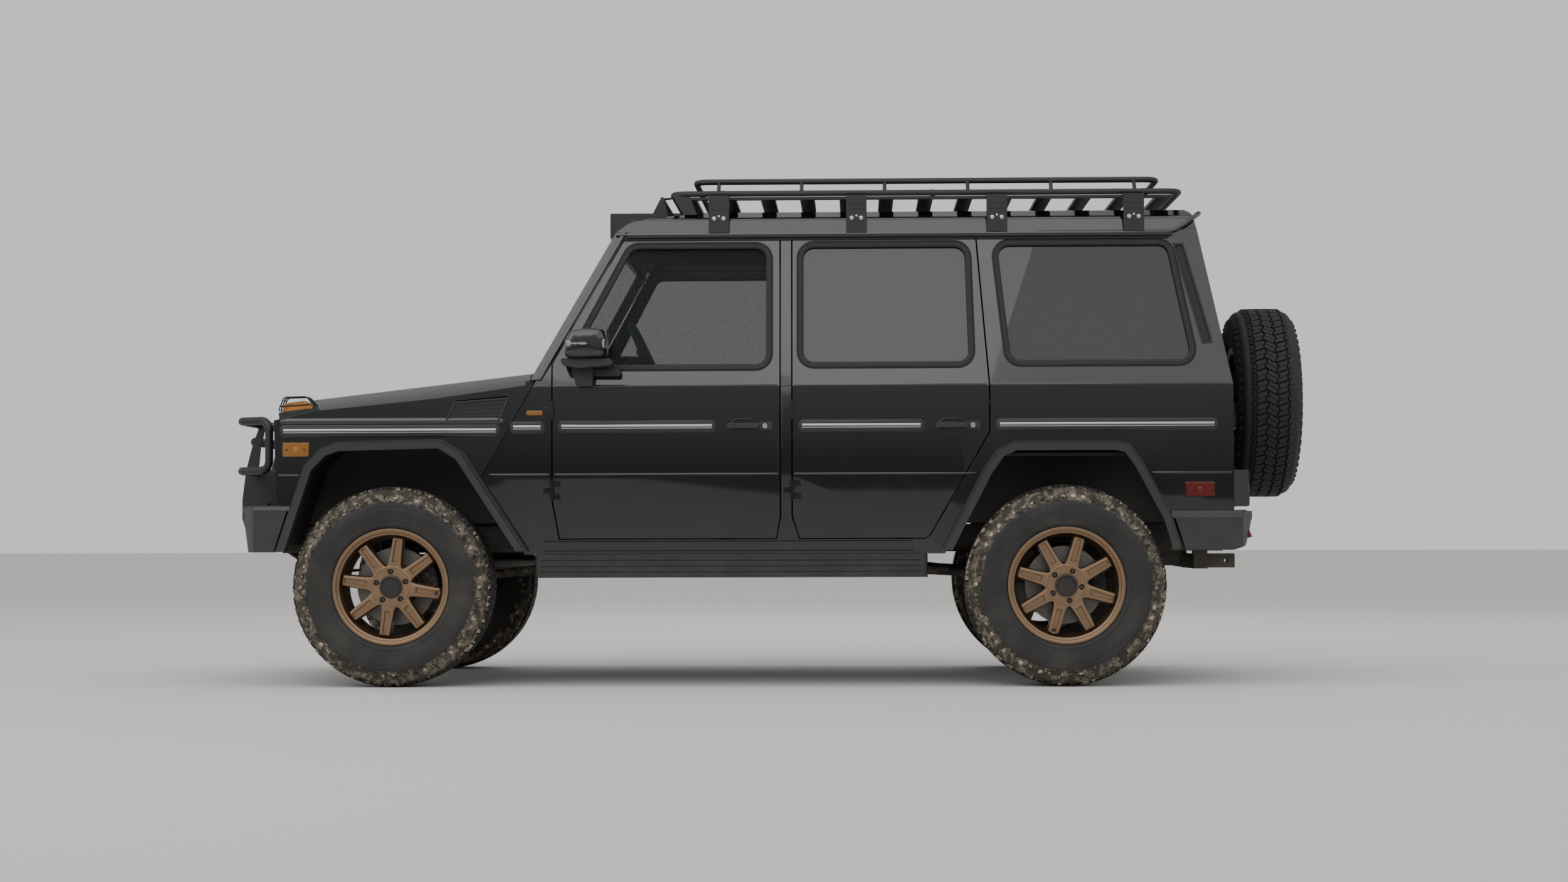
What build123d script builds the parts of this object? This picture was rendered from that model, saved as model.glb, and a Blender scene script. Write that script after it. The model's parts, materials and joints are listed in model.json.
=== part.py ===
from build123d import *
from math import cos, hypot, radians, sin
import os

os.makedirs("parts", exist_ok=True)

# Overall sizes. x runs forward, y to the left and z up from the ground.
wheelbase = 2850
front_overhang = 772
rear_overhang = 1080
half_track = 746
tyre_radius = 425
tyre_width = 285
length = front_overhang + wheelbase + rear_overhang
front_axle_x = length / 2 - front_overhang
rear_axle_x = front_axle_x - wheelbase

# Body levels and half widths
sill_z = 560
floor_z = 690
door_bottom_z = 627
crease_z = 899
belt_z = 1270
cowl_z = 1300
rail_z = 1935
roof_z = 2044
body_half = 820
sill_half = 813
gutter_z = 1921
gutter_half = 745

# Sheets, gaps and fits
body_wall = 50
shut_gap = 6
seat = 0.3
running = 0.05
glass_thick = 6
sheet = 14
lean = (body_half - gutter_half) / (gutter_z - belt_z)


def behind_front(distance):
    """x of a point this far behind the front axle."""
    return front_axle_x - distance


def behind_rear(distance):
    """x of a point this far behind the rear axle."""
    return rear_axle_x - distance


def side_y(z):
    """The body's outer half width at a height, upright to the belt and leaning in above it."""
    return body_half - max(0, z - belt_z) * lean


def save(piece, name):
    """Labels a finished piece and writes it."""
    piece.part.label = name
    export_step(piece.part, f"parts/{name}.step")


def prism_across(outline, y_low, y_high, radius=0, grow=0):
    """An outline of (x, z) points carried across the car between two y levels."""
    with BuildPart() as prism:
        with BuildSketch(Plane.XZ.offset(-y_high)) as face:
            with BuildLine():
                Polyline(*outline, close=True)
            make_face()
            if radius:
                fillet(face.vertices(), radius)
            if grow:
                offset(amount=grow, kind=Kind.INTERSECTION)
        extrude(amount=y_high - y_low)
    return prism.part


def prism_along(outline, x_low, x_high):
    """A section of (y, z) points carried along the car between two x stations."""
    with BuildPart() as prism:
        with BuildSketch(Plane.YZ.offset(x_low)):
            with BuildLine():
                Polyline(*outline, close=True)
            make_face()
        extrude(amount=x_high - x_low)
    return prism.part


def wall_section(skin, depth):
    """The side wall's upright section; a pane set in from the skin starts at the crease."""
    outer = body_half - skin
    top = side_y(rail_z) - skin
    foot_z = crease_z if skin else sill_z
    foot = [] if skin else [(sill_half, sill_z)]
    outside = [*foot, (outer, crease_z), (outer, belt_z), (top, rail_z)]
    return [*outside, (top - depth, rail_z), (outer - depth, belt_z), (outer - depth, foot_z)]


def side_panel(outline, radius=0, grow=0, skin=0, depth=body_wall):
    """A piece of the left side wall that lies inside an outline of (x, z) points."""
    with BuildPart() as panel:
        add(prism_along(wall_section(skin, depth), -length, length))
        add(prism_across(outline, 0, length, radius, grow), mode=Mode.INTERSECT)
    return panel.part


def bar(path, radius, bend=None):
    """A round bar along straight runs with rounded corners."""
    with BuildPart() as tube:
        with BuildLine() as line:
            if len(path) > 2:
                FilletPolyline(*path, radius=bend or 2.2 * radius)
            else:
                Line(*path)
        with BuildSketch(Plane(origin=line.wire() @ 0, z_dir=line.wire() % 0)):
            Circle(radius)
        sweep()
    return tube.part


# Side outlines, as (x, z) points
screen_foot_x = behind_front(585)
screen_head_x = behind_front(945)
pillar_depth = 51
screen_run = (screen_foot_x - screen_head_x) / (rail_z - cowl_z)


def screen_x(z, back=0):
    """x of the windscreen frame's face at a height, or of a plane behind it."""
    return screen_foot_x - screen_run * (z - cowl_z) - back


door_top_z = 1903
door_front_x = behind_front(682)
pillar_front_x = behind_front(1645)
pillar_rear_x = behind_front(1701)
rear_face_x = behind_rear(710)
rear_head_x = behind_rear(571)
pillar_back = pillar_depth + shut_gap

front_door_outline = [
    (behind_front(712), door_bottom_z),
    (door_front_x, 790),
    (door_front_x, cowl_z + (screen_x(cowl_z, pillar_back) - door_front_x) / screen_run),
    (screen_x(door_top_z, pillar_back), door_top_z),
    (pillar_front_x, door_top_z),
    (pillar_front_x, 720),
    (pillar_front_x + 16, door_bottom_z),
]
rear_door_outline = [
    (pillar_rear_x - 29, door_bottom_z),
    (pillar_rear_x, 720),
    (pillar_rear_x, door_top_z),
    (behind_rear(-371), door_top_z),
    (behind_rear(-319), belt_z),
    (behind_rear(-319), 1074),
    (behind_rear(-571), 640),
    (behind_rear(-590), door_bottom_z),
]
front_window = [
    (behind_front(742), 1358),
    (behind_front(1014), 1869),
    (behind_front(1596), 1869),
    (behind_front(1596), 1358),
]
rear_window = [
    (pillar_rear_x - 39, 1366),
    (pillar_rear_x - 39, 1872),
    (behind_rear(-410), 1872),
    (behind_rear(-395), 1366),
]
quarter_window = [
    (behind_rear(-230), 1370),
    (behind_rear(-285), 1876),
    (behind_rear(447), 1876),
    (behind_rear(548), 1370),
]
window_radius = 52

# Flare outlines, as (distance behind the axle, z)
front_flare_line = [
    (-492, 576),
    (-371, 940),
    (-300, 1014),
    (-230, 1040),
    (214, 1050),
    (307, 993),
    (578, 576),
]
rear_flare_line = [
    (-525, 570),
    (-348, 913),
    (-288, 998),
    (-215, 1033),
    (210, 1033),
    (270, 1020),
    (324, 945),
    (446, 715),
    (480, 600),
]
flare_band = 40
arch_lap = 20
flare_half = 886


def arch(axle_x, line, drop):
    """A wheel opening's outline, closed a drop below its lowest points."""
    points = [(axle_x - distance, z) for distance, z in line]
    return [(points[0][0], points[0][1] - drop), *points, (points[-1][0], points[-1][1] - drop)]


front_arch = arch(front_axle_x, front_flare_line, 200)
rear_arch = arch(rear_axle_x, rear_flare_line, 200)

# Side frames: sill, hinge pillar, door pillar, roof rail and quarter
fender_cut_foot = 374
fender_cut_low_z = 888
fender_cut_run = 0.57


def fender_cut_x(z, back=0):
    """x of the slanted line between fender and body at a height, or of a parallel behind it."""
    return behind_front(fender_cut_foot + (z - fender_cut_low_z) * fender_cut_run + back)


side_outline = [
    (fender_cut_x(cowl_z, 4), cowl_z),
    (fender_cut_x(fender_cut_low_z, 4), fender_cut_low_z),
    (behind_front(300), 741),
    (behind_front(300), sill_z),
    (behind_rear(300), sill_z),
    (behind_rear(460), 640),
    (rear_face_x, 640),
    (rear_face_x, belt_z),
    (rear_head_x, rail_z),
    (screen_x(rail_z, pillar_depth + seat), rail_z),
    (screen_x(cowl_z, pillar_depth + seat), cowl_z),
]
handle_z = 1102
handle_long = 138
handle_tall = 24
handle_out = 26
handle_thick = 13
handle_foot = 16
bowl_deep = 14
lock_back = 92
lock_r = 10
armrest_z = 940
hinge_r = 9
hinge_out = 12
hinge_levels = (832, 1170)
hinge_knuckle = 26
hinge_leaf = 36
leaf_thick = 9
leaf_sunk = 4


def hinges(x, y, levels, outward, leafward, fixed):
    """Barrels about an upright pin, with flat leaves sunk into the panel: fixed or moving ones."""
    reach = hinge_knuckle / 2 + 0.8
    spans = [(-hinge_knuckle / 2, hinge_knuckle / 2)] if fixed else [
        (reach, reach + hinge_knuckle), (-reach - hinge_knuckle, -reach)]
    inset = leaf_thick / 2 - leaf_sunk - hinge_out
    leaf_x = x + leafward[0] * hinge_leaf / 2 + outward[0] * inset
    leaf_y = y + leafward[1] * hinge_leaf / 2 + outward[1] * inset
    wide = hinge_leaf if leafward[0] else leaf_thick
    deep = hinge_leaf if leafward[1] else leaf_thick
    with BuildPart() as barrels:
        for z in levels:
            for low, high in spans:
                with BuildSketch(Plane.XY.offset(z + low)):
                    with Locations((x, y)):
                        Circle(hinge_r)
                    with Locations((leaf_x, leaf_y)):
                        Rectangle(wide, deep)
                extrude(amount=high - low)
    return barrels.part


front_hinge_x = door_front_x + shut_gap / 2
rear_hinge_x = pillar_rear_x + shut_gap / 2
door_hinge_y = body_half + hinge_out
gutter_out = 761
gutter_low = 1910
gutter_top = 1926
gutter_lip = [(742, gutter_low + 2), (gutter_out, gutter_low), (gutter_out, gutter_top), (742, gutter_top)]


vent_outline = [
    (behind_rear(468), 1875),
    (behind_rear(512), 1875),
    (behind_rear(627), 1445),
    (behind_rear(583), 1445),
]
vent_depth = 10
sill_steps = (572, 612)
step_tall = 4
step_deep = 3


def side_frame():
    """The left side of the body, with its door openings, window, vent, sill steps and wheel arches cut."""
    with BuildPart() as frame:
        add(side_panel(side_outline))
        add(prism_across(front_door_outline, 0, length, grow=shut_gap), mode=Mode.SUBTRACT)
        add(prism_across(rear_door_outline, 0, length, grow=shut_gap), mode=Mode.SUBTRACT)
        add(prism_across(quarter_window, 0, length, radius=window_radius), mode=Mode.SUBTRACT)
        add(prism_across(front_arch, 0, length, grow=-arch_lap), mode=Mode.SUBTRACT)
        add(prism_across(rear_arch, 0, length, grow=-arch_lap), mode=Mode.SUBTRACT)
        add(side_panel(vent_outline, depth=vent_depth), mode=Mode.SUBTRACT)
        for z in sill_steps:
            step = [(sill_half - step_deep, z), (body_half, z), (body_half, z + step_tall),
                    (sill_half - step_deep, z + step_tall)]
            add(prism_along(step, behind_rear(-640), behind_front(640)), mode=Mode.SUBTRACT)
        add(prism_along(gutter_lip, behind_rear(467), screen_x(gutter_z, pillar_depth + 4)))
        for hinge_x in (front_hinge_x, rear_hinge_x):
            add(hinges(hinge_x, door_hinge_y, hinge_levels, (0, 1), (1, 0), True))
    return frame.part


with BuildPart() as side_frame_left:
    add(side_frame())

with BuildPart() as side_frame_right:
    mirror(side_frame_left.part, about=Plane.XZ)

# Windscreen frame: both front pillars, the header and the lower rail
screen_margin = 62
screen_slope = hypot(screen_foot_x - screen_head_x, rail_z - cowl_z)
screen_plane = Plane(
    origin=(screen_foot_x, 0, cowl_z),
    x_dir=(0, 1, 0),
    z_dir=(rail_z - cowl_z, 0, screen_foot_x - screen_head_x),
)
screen_opening = [
    (side_y(cowl_z) - screen_margin, screen_margin),
    (side_y(rail_z) - screen_margin, screen_slope - screen_margin),
    (screen_margin - side_y(rail_z), screen_slope - screen_margin),
    (screen_margin - side_y(cowl_z), screen_margin),
]
screen_slab = [
    (screen_x(cowl_z), cowl_z),
    (screen_x(rail_z), rail_z),
    (screen_x(rail_z, pillar_depth), rail_z),
    (screen_x(cowl_z, pillar_depth), cowl_z),
]
cabin_section = [
    (side_y(cowl_z), cowl_z),
    (side_y(rail_z), rail_z),
    (-side_y(rail_z), rail_z),
    (-side_y(cowl_z), cowl_z),
]
drip_out = 14
drip_section = [(y + (drip_out if y > 0 else -drip_out), z) for y, z in cabin_section]
drip_slab = [
    (screen_x(cowl_z, 28), cowl_z),
    (screen_x(rail_z, 28), rail_z),
    (screen_x(rail_z, 46), rail_z),
    (screen_x(cowl_z, 46), cowl_z),
]
with BuildPart() as drip_rails:
    add(prism_along(drip_section, -length, length))
    add(prism_across(drip_slab, -length, length), mode=Mode.INTERSECT)

with BuildPart() as windscreen_frame:
    add(prism_along(cabin_section, -length, length))
    add(prism_across(screen_slab, -body_half, body_half), mode=Mode.INTERSECT)
    add(drip_rails.part)
    with BuildSketch(screen_plane.offset(100)) as opening:
        with BuildLine():
            Polyline(*screen_opening, close=True)
        make_face()
        fillet(opening.vertices(), 45)
    extrude(amount=-300, mode=Mode.SUBTRACT)

with BuildPart() as windscreen:
    with BuildSketch(screen_plane.offset(-12)) as pane:
        with BuildLine():
            Polyline(*screen_opening, close=True)
        make_face()
        fillet(pane.vertices(), 45)
        offset(amount=-seat, kind=Kind.INTERSECTION)
    extrude(amount=-glass_thick)

# Roof: a crowned shell on the side rails
rail_half = side_y(rail_z)
roof_section = [(rail_half, rail_z), (724, 1994), (650, 2030), (0, roof_z)]
roof_inner = [(rail_half - 34, rail_z - 1), (692, 1976), (638, 2004), (0, roof_z - 27)]
roof_profile = [
    (screen_x(rail_z), rail_z),
    (behind_front(1000), 1976),
    (behind_front(1095), 2001),
    (behind_front(1520), roof_z + 1),
    (behind_rear(440), roof_z + 1),
    (behind_rear(530), 2028),
    (behind_rear(552), 2010),
    (rear_head_x, rail_z),
]
roof_hollow = [
    (screen_x(rail_z) - 40, rail_z - 1),
    (behind_front(1040), 1966),
    (behind_front(1120), 1984),
    (behind_front(1530), roof_z - 22),
    (behind_rear(430), roof_z - 22),
    (behind_rear(515), 1996),
    (behind_rear(524), rail_z - 1),
]


def crowned(section, profile):
    """A solid with one crowned section across the car, kept inside a side profile."""
    with BuildPart() as crown:
        with BuildSketch(Plane.YZ.offset(-length)):
            with BuildLine():
                FilletPolyline(*section, radius=40)
                mirror(about=Plane.YZ)
                Line((-section[0][0], section[0][1]), section[0])
            make_face()
        extrude(amount=2 * length)
        add(prism_across(profile, -body_half, body_half), mode=Mode.INTERSECT)
    return crown.part


with BuildPart() as roof:
    add(crowned(roof_section, roof_profile))
    add(crowned(roof_inner, roof_hollow), mode=Mode.SUBTRACT)

# Rear frame and the side-hinged rear door
rear_slab = [
    (rear_face_x, floor_z),
    (rear_face_x, belt_z),
    (rear_head_x, rail_z),
    (rear_head_x + body_wall, rail_z),
    (rear_face_x + body_wall, belt_z),
    (rear_face_x + body_wall, floor_z),
]
rear_section = [
    (body_half - body_wall, floor_z),
    (body_half - body_wall, belt_z),
    (rail_half - body_wall, rail_z),
    (body_wall - rail_half, rail_z),
    (body_wall - body_half, belt_z),
    (body_wall - body_half, floor_z),
]
rear_door_half = 610
rear_door_low = 742
rear_door_high = 1884
rear_door_face = [
    (rear_door_half, rear_door_low),
    (rear_door_half, belt_z),
    (rear_door_half - 48, rear_door_high),
    (48 - rear_door_half, rear_door_high),
    (-rear_door_half, belt_z),
    (-rear_door_half, rear_door_low),
]
rear_window_face = [(500, 1372), (465, 1828), (-465, 1828), (-500, 1372)]


def rear_prism(outline, radius=0, grow=0):
    """A rear view outline of (y, z) points carried through the back of the body."""
    with BuildPart() as prism:
        with BuildSketch(Plane.YZ.offset(rear_face_x - 100)) as face:
            with BuildLine():
                Polyline(*outline, close=True)
            make_face()
            if radius:
                fillet(face.vertices(), radius)
            if grow:
                offset(amount=grow, kind=Kind.INTERSECTION)
        extrude(amount=500)
    return prism.part


rear_hinge_out = rear_face_x - hinge_out
rear_hinge_y = -rear_door_half - shut_gap / 2
rear_hinge_levels = (840, 1010, 1180)
spare_z = 1228
spare_x = rear_axle_x - rear_overhang + tyre_width / 2
hub_face = 58
carrier_r = 70
with BuildPart() as rear_frame:
    add(prism_along(rear_section, rear_face_x - 10, rear_head_x + 200))
    add(prism_across(rear_slab, -body_half, body_half), mode=Mode.INTERSECT)
    add(rear_prism(rear_door_face, grow=shut_gap), mode=Mode.SUBTRACT)
    add(hinges(rear_hinge_out, rear_hinge_y, rear_hinge_levels, (-1, 0), (0, -1), True))

with BuildPart() as rear_door:
    add(prism_across(rear_slab, -body_half, body_half))
    add(rear_prism(rear_door_face), mode=Mode.INTERSECT)
    add(rear_prism(rear_window_face, radius=60), mode=Mode.SUBTRACT)
    add(hinges(rear_hinge_out, rear_hinge_y, rear_hinge_levels, (-1, 0), (0, 1), False))
    with BuildSketch(Plane.YZ.offset(rear_face_x - 14)):
        with Locations((0, spare_z - 110)):
            RectangleRounded(420, 300, 30)
    extrude(amount=16)
    with BuildSketch(Plane.YZ.offset(spare_x - hub_face + seat)):
        with Locations((0, spare_z)):
            Circle(carrier_r)
    extrude(amount=24)
    with BuildSketch(Plane.YZ.offset(rear_face_x - 1)):
        with Locations((rear_door_half - 78, 1110)):
            RectangleRounded(84, 96, 20)
    extrude(amount=1 + bowl_deep, mode=Mode.SUBTRACT)
    with BuildSketch(Plane.YZ.offset(rear_face_x - 20)):
        with Locations((rear_door_half - 78, 1110)):
            RectangleRounded(104, 24, 10)
    extrude(amount=12)
    for y in (rear_door_half - 30, rear_door_half - 126):
        with BuildSketch(Plane.YZ.offset(rear_face_x - 18)):
            with Locations((y + 3, 1110)):
                RectangleRounded(14, 24, 6)
        extrude(amount=22)
    for y, z in ((-150, -200), (150, -200), (0, 30)):
        foot = (rear_face_x, y, spare_z + z)
        head = (spare_x - hub_face + seat + 20, y * 0.2, spare_z + z * 0.2)
        add(bar([foot, head], 18))

rear_pane = [(x + 16, z) for x, z in rear_slab[:3]] + [(x + 16 + glass_thick, z) for x, z in rear_slab[2::-1]]
with BuildPart() as rear_glass:
    add(prism_across(rear_pane, -body_half, body_half))
    add(rear_prism(rear_window_face, radius=60, grow=-seat), mode=Mode.INTERSECT)

# Doors and side glass
pane_skin = 16


def plate(x, z, long, tall, radius, y_low, y_high):
    """A rounded plate that faces sideways, centred at (x, z), between two y levels."""
    with BuildPart() as slab:
        with BuildSketch(Plane.XZ.offset(-y_high)):
            with Locations((x, z)):
                RectangleRounded(long, tall, radius)
        extrude(amount=y_high - y_low)
    return slab.part


def handle(x):
    """A bar handle on two feet, with a lock button behind it."""
    foot_x = handle_long / 2 - handle_foot / 2
    with BuildPart() as grip:
        add(plate(x, handle_z, handle_long, handle_tall, 10,
                  body_half + handle_out - handle_thick, body_half + handle_out))
        for side in (-1, 1):
            add(plate(x + side * foot_x, handle_z, handle_foot, handle_tall, 6,
                      body_half - bowl_deep, body_half + handle_out - 4))
        add(plate(x - lock_back, handle_z, 62, 34, 8, body_half - 4, body_half + 9))
        add(plate(x - lock_back, handle_z, 2 * lock_r, 2 * lock_r, lock_r - 0.5, body_half, body_half + 13))
    return grip.part


def door(outline, window, hinge_x, handle_x, rest_front_x, rest_rear_x):
    """A left door as thick as the wall, with its window cut, hinge barrels, handle and armrest."""
    inner = body_half - body_wall
    rest_mid = (rest_front_x + rest_rear_x) / 2
    with BuildPart() as leaf:
        add(side_panel(outline))
        add(hinges(hinge_x, door_hinge_y, hinge_levels, (0, 1), (-1, 0), False))
        add(prism_across(window, 0, length, radius=window_radius), mode=Mode.SUBTRACT)
        add(plate(handle_x, handle_z, handle_long - 2 * handle_foot - 6, 58, 28,
                  body_half - bowl_deep, body_half + 1), mode=Mode.SUBTRACT)
        add(handle(handle_x))
        add(plate(rest_mid, armrest_z, rest_front_x - rest_rear_x, 52, 20, inner - 48, inner + 4))
        add(plate(rest_mid, armrest_z - 130, rest_front_x - rest_rear_x, 90, 20, inner - 30, inner + 4))
    return leaf.part


def side_glass(window):
    """A pane that fills a side window, a little in from the skin."""
    return side_panel(window, radius=window_radius, grow=-seat, skin=pane_skin, depth=glass_thick)


with BuildPart() as door_front_left:
    add(door(front_door_outline, front_window, front_hinge_x, behind_front(1492),
             behind_front(1050), behind_front(1560)))
with BuildPart() as door_rear_left:
    add(door(rear_door_outline, rear_window, rear_hinge_x, behind_rear(-479),
             behind_rear(-970), behind_rear(-560)))
with BuildPart() as glass_front_left:
    add(side_glass(front_window))
with BuildPart() as glass_rear_left:
    add(side_glass(rear_window))
with BuildPart() as door_front_right:
    mirror(door_front_left.part, about=Plane.XZ)
with BuildPart() as door_rear_right:
    mirror(door_rear_left.part, about=Plane.XZ)
with BuildPart() as glass_front_right:
    mirror(glass_front_left.part, about=Plane.XZ)
with BuildPart() as glass_rear_right:
    mirror(glass_rear_left.part, about=Plane.XZ)
with BuildPart() as quarter_glass:
    add(side_glass(quarter_window))
    mirror(about=Plane.XZ)

save(side_frame_left, "side_frame_left")
save(side_frame_right, "side_frame_right")
save(windscreen_frame, "windscreen_frame")
save(windscreen, "windscreen")
save(roof, "roof")
save(rear_frame, "rear_frame")
save(rear_door, "rear_door")
save(rear_glass, "rear_glass")
save(door_front_left, "door_front_left")
save(door_front_right, "door_front_right")
save(door_rear_left, "door_rear_left")
save(door_rear_right, "door_rear_right")
save(glass_front_left, "glass_front_left")
save(glass_front_right, "glass_front_right")
save(glass_rear_left, "glass_rear_left")
save(glass_rear_right, "glass_rear_right")
save(quarter_glass, "quarter_glass")

# Floor with the rear wheel housings and the gearbox tunnel
firewall_x = behind_front(560)
floor_half = body_half - body_wall
floor_rear_x = rear_face_x + body_wall
housing_inner = 575
housing_line = [(-500, 490), (-500, 800), (-370, 985), (370, 985), (500, 800), (500, 490)]
rear_housing = [(rear_axle_x - distance, z) for distance, z in housing_line]
tunnel_half = 195
tunnel_top = 135
tunnel_z = 870
tunnel_x = behind_front(1100)
firewall_thick = 16
tunnel_section = [
    (tunnel_half, floor_z),
    (tunnel_top, tunnel_z),
    (-tunnel_top, tunnel_z),
    (-tunnel_half, floor_z),
]
tunnel_hollow = [
    (tunnel_half - 18, floor_z - 1),
    (tunnel_top - 12, tunnel_z - sheet),
    (12 - tunnel_top, tunnel_z - sheet),
    (18 - tunnel_half, floor_z - 1),
]
with BuildPart() as floor_sheet:
    with BuildSketch(Plane.XY.offset(floor_z)):
        with Locations(((firewall_x + floor_rear_x) / 2, 0)):
            Rectangle(firewall_x - floor_rear_x, 2 * floor_half)
    extrude(amount=sheet)
    add(prism_along(tunnel_section, tunnel_x, firewall_x - firewall_thick))
    add(prism_along(tunnel_hollow, tunnel_x + sheet, firewall_x + 1), mode=Mode.SUBTRACT)
    for side in (-1, 1):
        add(prism_across(rear_housing, *sorted((side * housing_inner, side * floor_half))))
    with BuildSketch(Plane.XY.offset(floor_z - 300)):
        Rectangle(2 * length, 4 * body_half)
    extrude(amount=300, mode=Mode.SUBTRACT)
    for side in (-1, 1):
        span = sorted((side * (housing_inner + sheet), side * (floor_half + 50)))
        add(prism_across(rear_housing, *span, grow=-sheet), mode=Mode.SUBTRACT)

firewall_profile = [
    (firewall_x, floor_z + sheet),
    (firewall_x, cowl_z),
    (screen_x(cowl_z, pillar_depth), cowl_z),
    (screen_x(cowl_z, pillar_depth), cowl_z - sheet),
    (firewall_x - firewall_thick, cowl_z - sheet),
    (firewall_x - firewall_thick, floor_z + sheet),
]
hood_axis_x = behind_front(562)
hood_axis_z = 1336
hood_pin_r = 5
lug_y = 400
lug_thick = 12
with BuildPart() as firewall:
    add(prism_across(firewall_profile, 4 - floor_half, floor_half - 4))
    add(prism_along(tunnel_hollow, firewall_x - 50, firewall_x + 1), mode=Mode.SUBTRACT)
    for y in (lug_y, -lug_y):
        lug = [(hood_axis_x - 14, cowl_z), (hood_axis_x - 10, hood_axis_z + 6),
               (hood_axis_x + 8, hood_axis_z + 8),
               (hood_axis_x + 2, cowl_z)]
        add(prism_across(lug, y - lug_thick / 2, y + lug_thick / 2, radius=1))
        with BuildSketch(Plane.XZ.offset(-y - 2 * lug_thick)):
            with Locations((hood_axis_x, hood_axis_z)):
                Circle(hood_pin_r)
        extrude(amount=4 * lug_thick)

# Fenders, hood and front panel
fender_inner = 620
fender_outline = [
    (behind_front(-492), 600),
    (behind_front(-508), 1134),
    (behind_front(-326), 1175),
    (behind_front(-60), 1200),
    (behind_front(205), 1227),
    (fender_cut_x(1283), 1283),
    (fender_cut_x(fender_cut_low_z), fender_cut_low_z),
    (behind_front(0), 600),
]
liner_in = 434
liner_thick = 6
liner_low = 600
liner_wall_low = 692
louvre_count = 5
louvre_low = 1137
louvre_pitch = 17
louvre_tall = 9


def louvre(z):
    """A slanted-ended slot at a height of the fender's vent, as (x, z) points."""
    front, rear = 236, 452
    lean_in, rise = 0.46, 0.09
    low, high = z - louvre_low, z - louvre_low + louvre_tall
    return [
        (behind_front(front + low * lean_in), z),
        (behind_front(front + high * lean_in), z + louvre_tall),
        (behind_front(rear + high * lean_in), z + louvre_tall + (rear - front) * rise * low / 70),
        (behind_front(rear + low * lean_in), z + (rear - front) * rise * low / 70),
    ]


with BuildPart() as front_liner:
    add(prism_across(front_arch, liner_in, body_half - 5, grow=liner_thick - arch_lap))
    add(prism_across(front_arch, liner_in + liner_thick, body_half, grow=-arch_lap), mode=Mode.SUBTRACT)
    add(prism_across(side_outline, body_half - body_wall - seat, length, grow=seat), mode=Mode.SUBTRACT)
    with BuildSketch(Plane.XY):
        Rectangle(2 * length, 4 * body_half)
    extrude(amount=liner_low, mode=Mode.SUBTRACT)
    with BuildSketch(Plane.XY):
        Rectangle(2 * length, 2 * (liner_in + liner_thick))
    extrude(amount=liner_wall_low, mode=Mode.SUBTRACT)

with BuildPart() as fenders:
    add(prism_across(fender_outline, fender_inner, body_half))
    add(prism_across(fender_outline, fender_inner + sheet, body_half - sheet, grow=-sheet), mode=Mode.SUBTRACT)
    add(prism_across(front_arch, 0, length, grow=-arch_lap), mode=Mode.SUBTRACT)
    add(front_liner.part)
    for i in range(louvre_count):
        slot = louvre(louvre_low + i * louvre_pitch)
        add(prism_across(slot, body_half - 2 * sheet, length), mode=Mode.SUBTRACT)
    with BuildSketch(Plane.XY) as behind_firewall:
        with Locations((firewall_x - 200, 0)):
            Rectangle(400, 2 * floor_half + 2 * seat)
    extrude(amount=2000, mode=Mode.SUBTRACT)
    mirror(about=Plane.XZ)

hood_half = fender_inner - shut_gap
hood_wall = 18
hood_stations = [
    (behind_front(-543), 1132, 1166),
    (behind_front(-420), 1163, 1248),
    (behind_front(548), 1276, 1360),
]


def hood_section(side_z, top_z, drop):
    """Half hood section, mirrored, as (y, z) points a drop inside the outer skin."""
    half = [
        (hood_half - drop, side_z - 22 - 2 * drop),
        (hood_half - drop, side_z - drop * 0.6),
        (455 - drop * 0.6, top_z - 14 - drop),
        (300, top_z - drop),
    ]
    return half + [(-y, z) for y, z in reversed(half)]


def hood_body(stations, drop):
    """The hood's outer or inner skin, straight between its stations."""
    with BuildPart() as skin:
        for x, side_z, top_z in stations:
            with BuildSketch(Plane.YZ.offset(x)):
                with BuildLine():
                    Polyline(*hood_section(side_z, top_z, drop), close=True)
                make_face()
        loft(ruled=True)
    return skin.part


hood_hollow = [
    (hood_stations[0][0] - hood_wall, *hood_stations[0][1:]),
    hood_stations[1],
    (hood_stations[2][0] + hood_wall, *hood_stations[2][1:]),
]
hood_lug_y = lug_y - lug_thick - 1
with BuildPart() as hood:
    add(hood_body(hood_stations, 0))
    add(hood_body(hood_hollow, hood_wall), mode=Mode.SUBTRACT)
    for y in (hood_lug_y, -hood_lug_y):
        arm = [(hood_axis_x - 9, hood_axis_z - 9), (hood_axis_x - 9, hood_axis_z + 9),
               (behind_front(540), hood_axis_z + 9), (behind_front(540), hood_axis_z - 9)]
        add(prism_across(arm, y - lug_thick / 2, y + lug_thick / 2))
        with BuildSketch(Plane.XZ.offset(-y - lug_thick)):
            with Locations((hood_axis_x, hood_axis_z)):
                Circle(hood_pin_r + running)
        extrude(amount=2 * lug_thick, mode=Mode.SUBTRACT)

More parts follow.
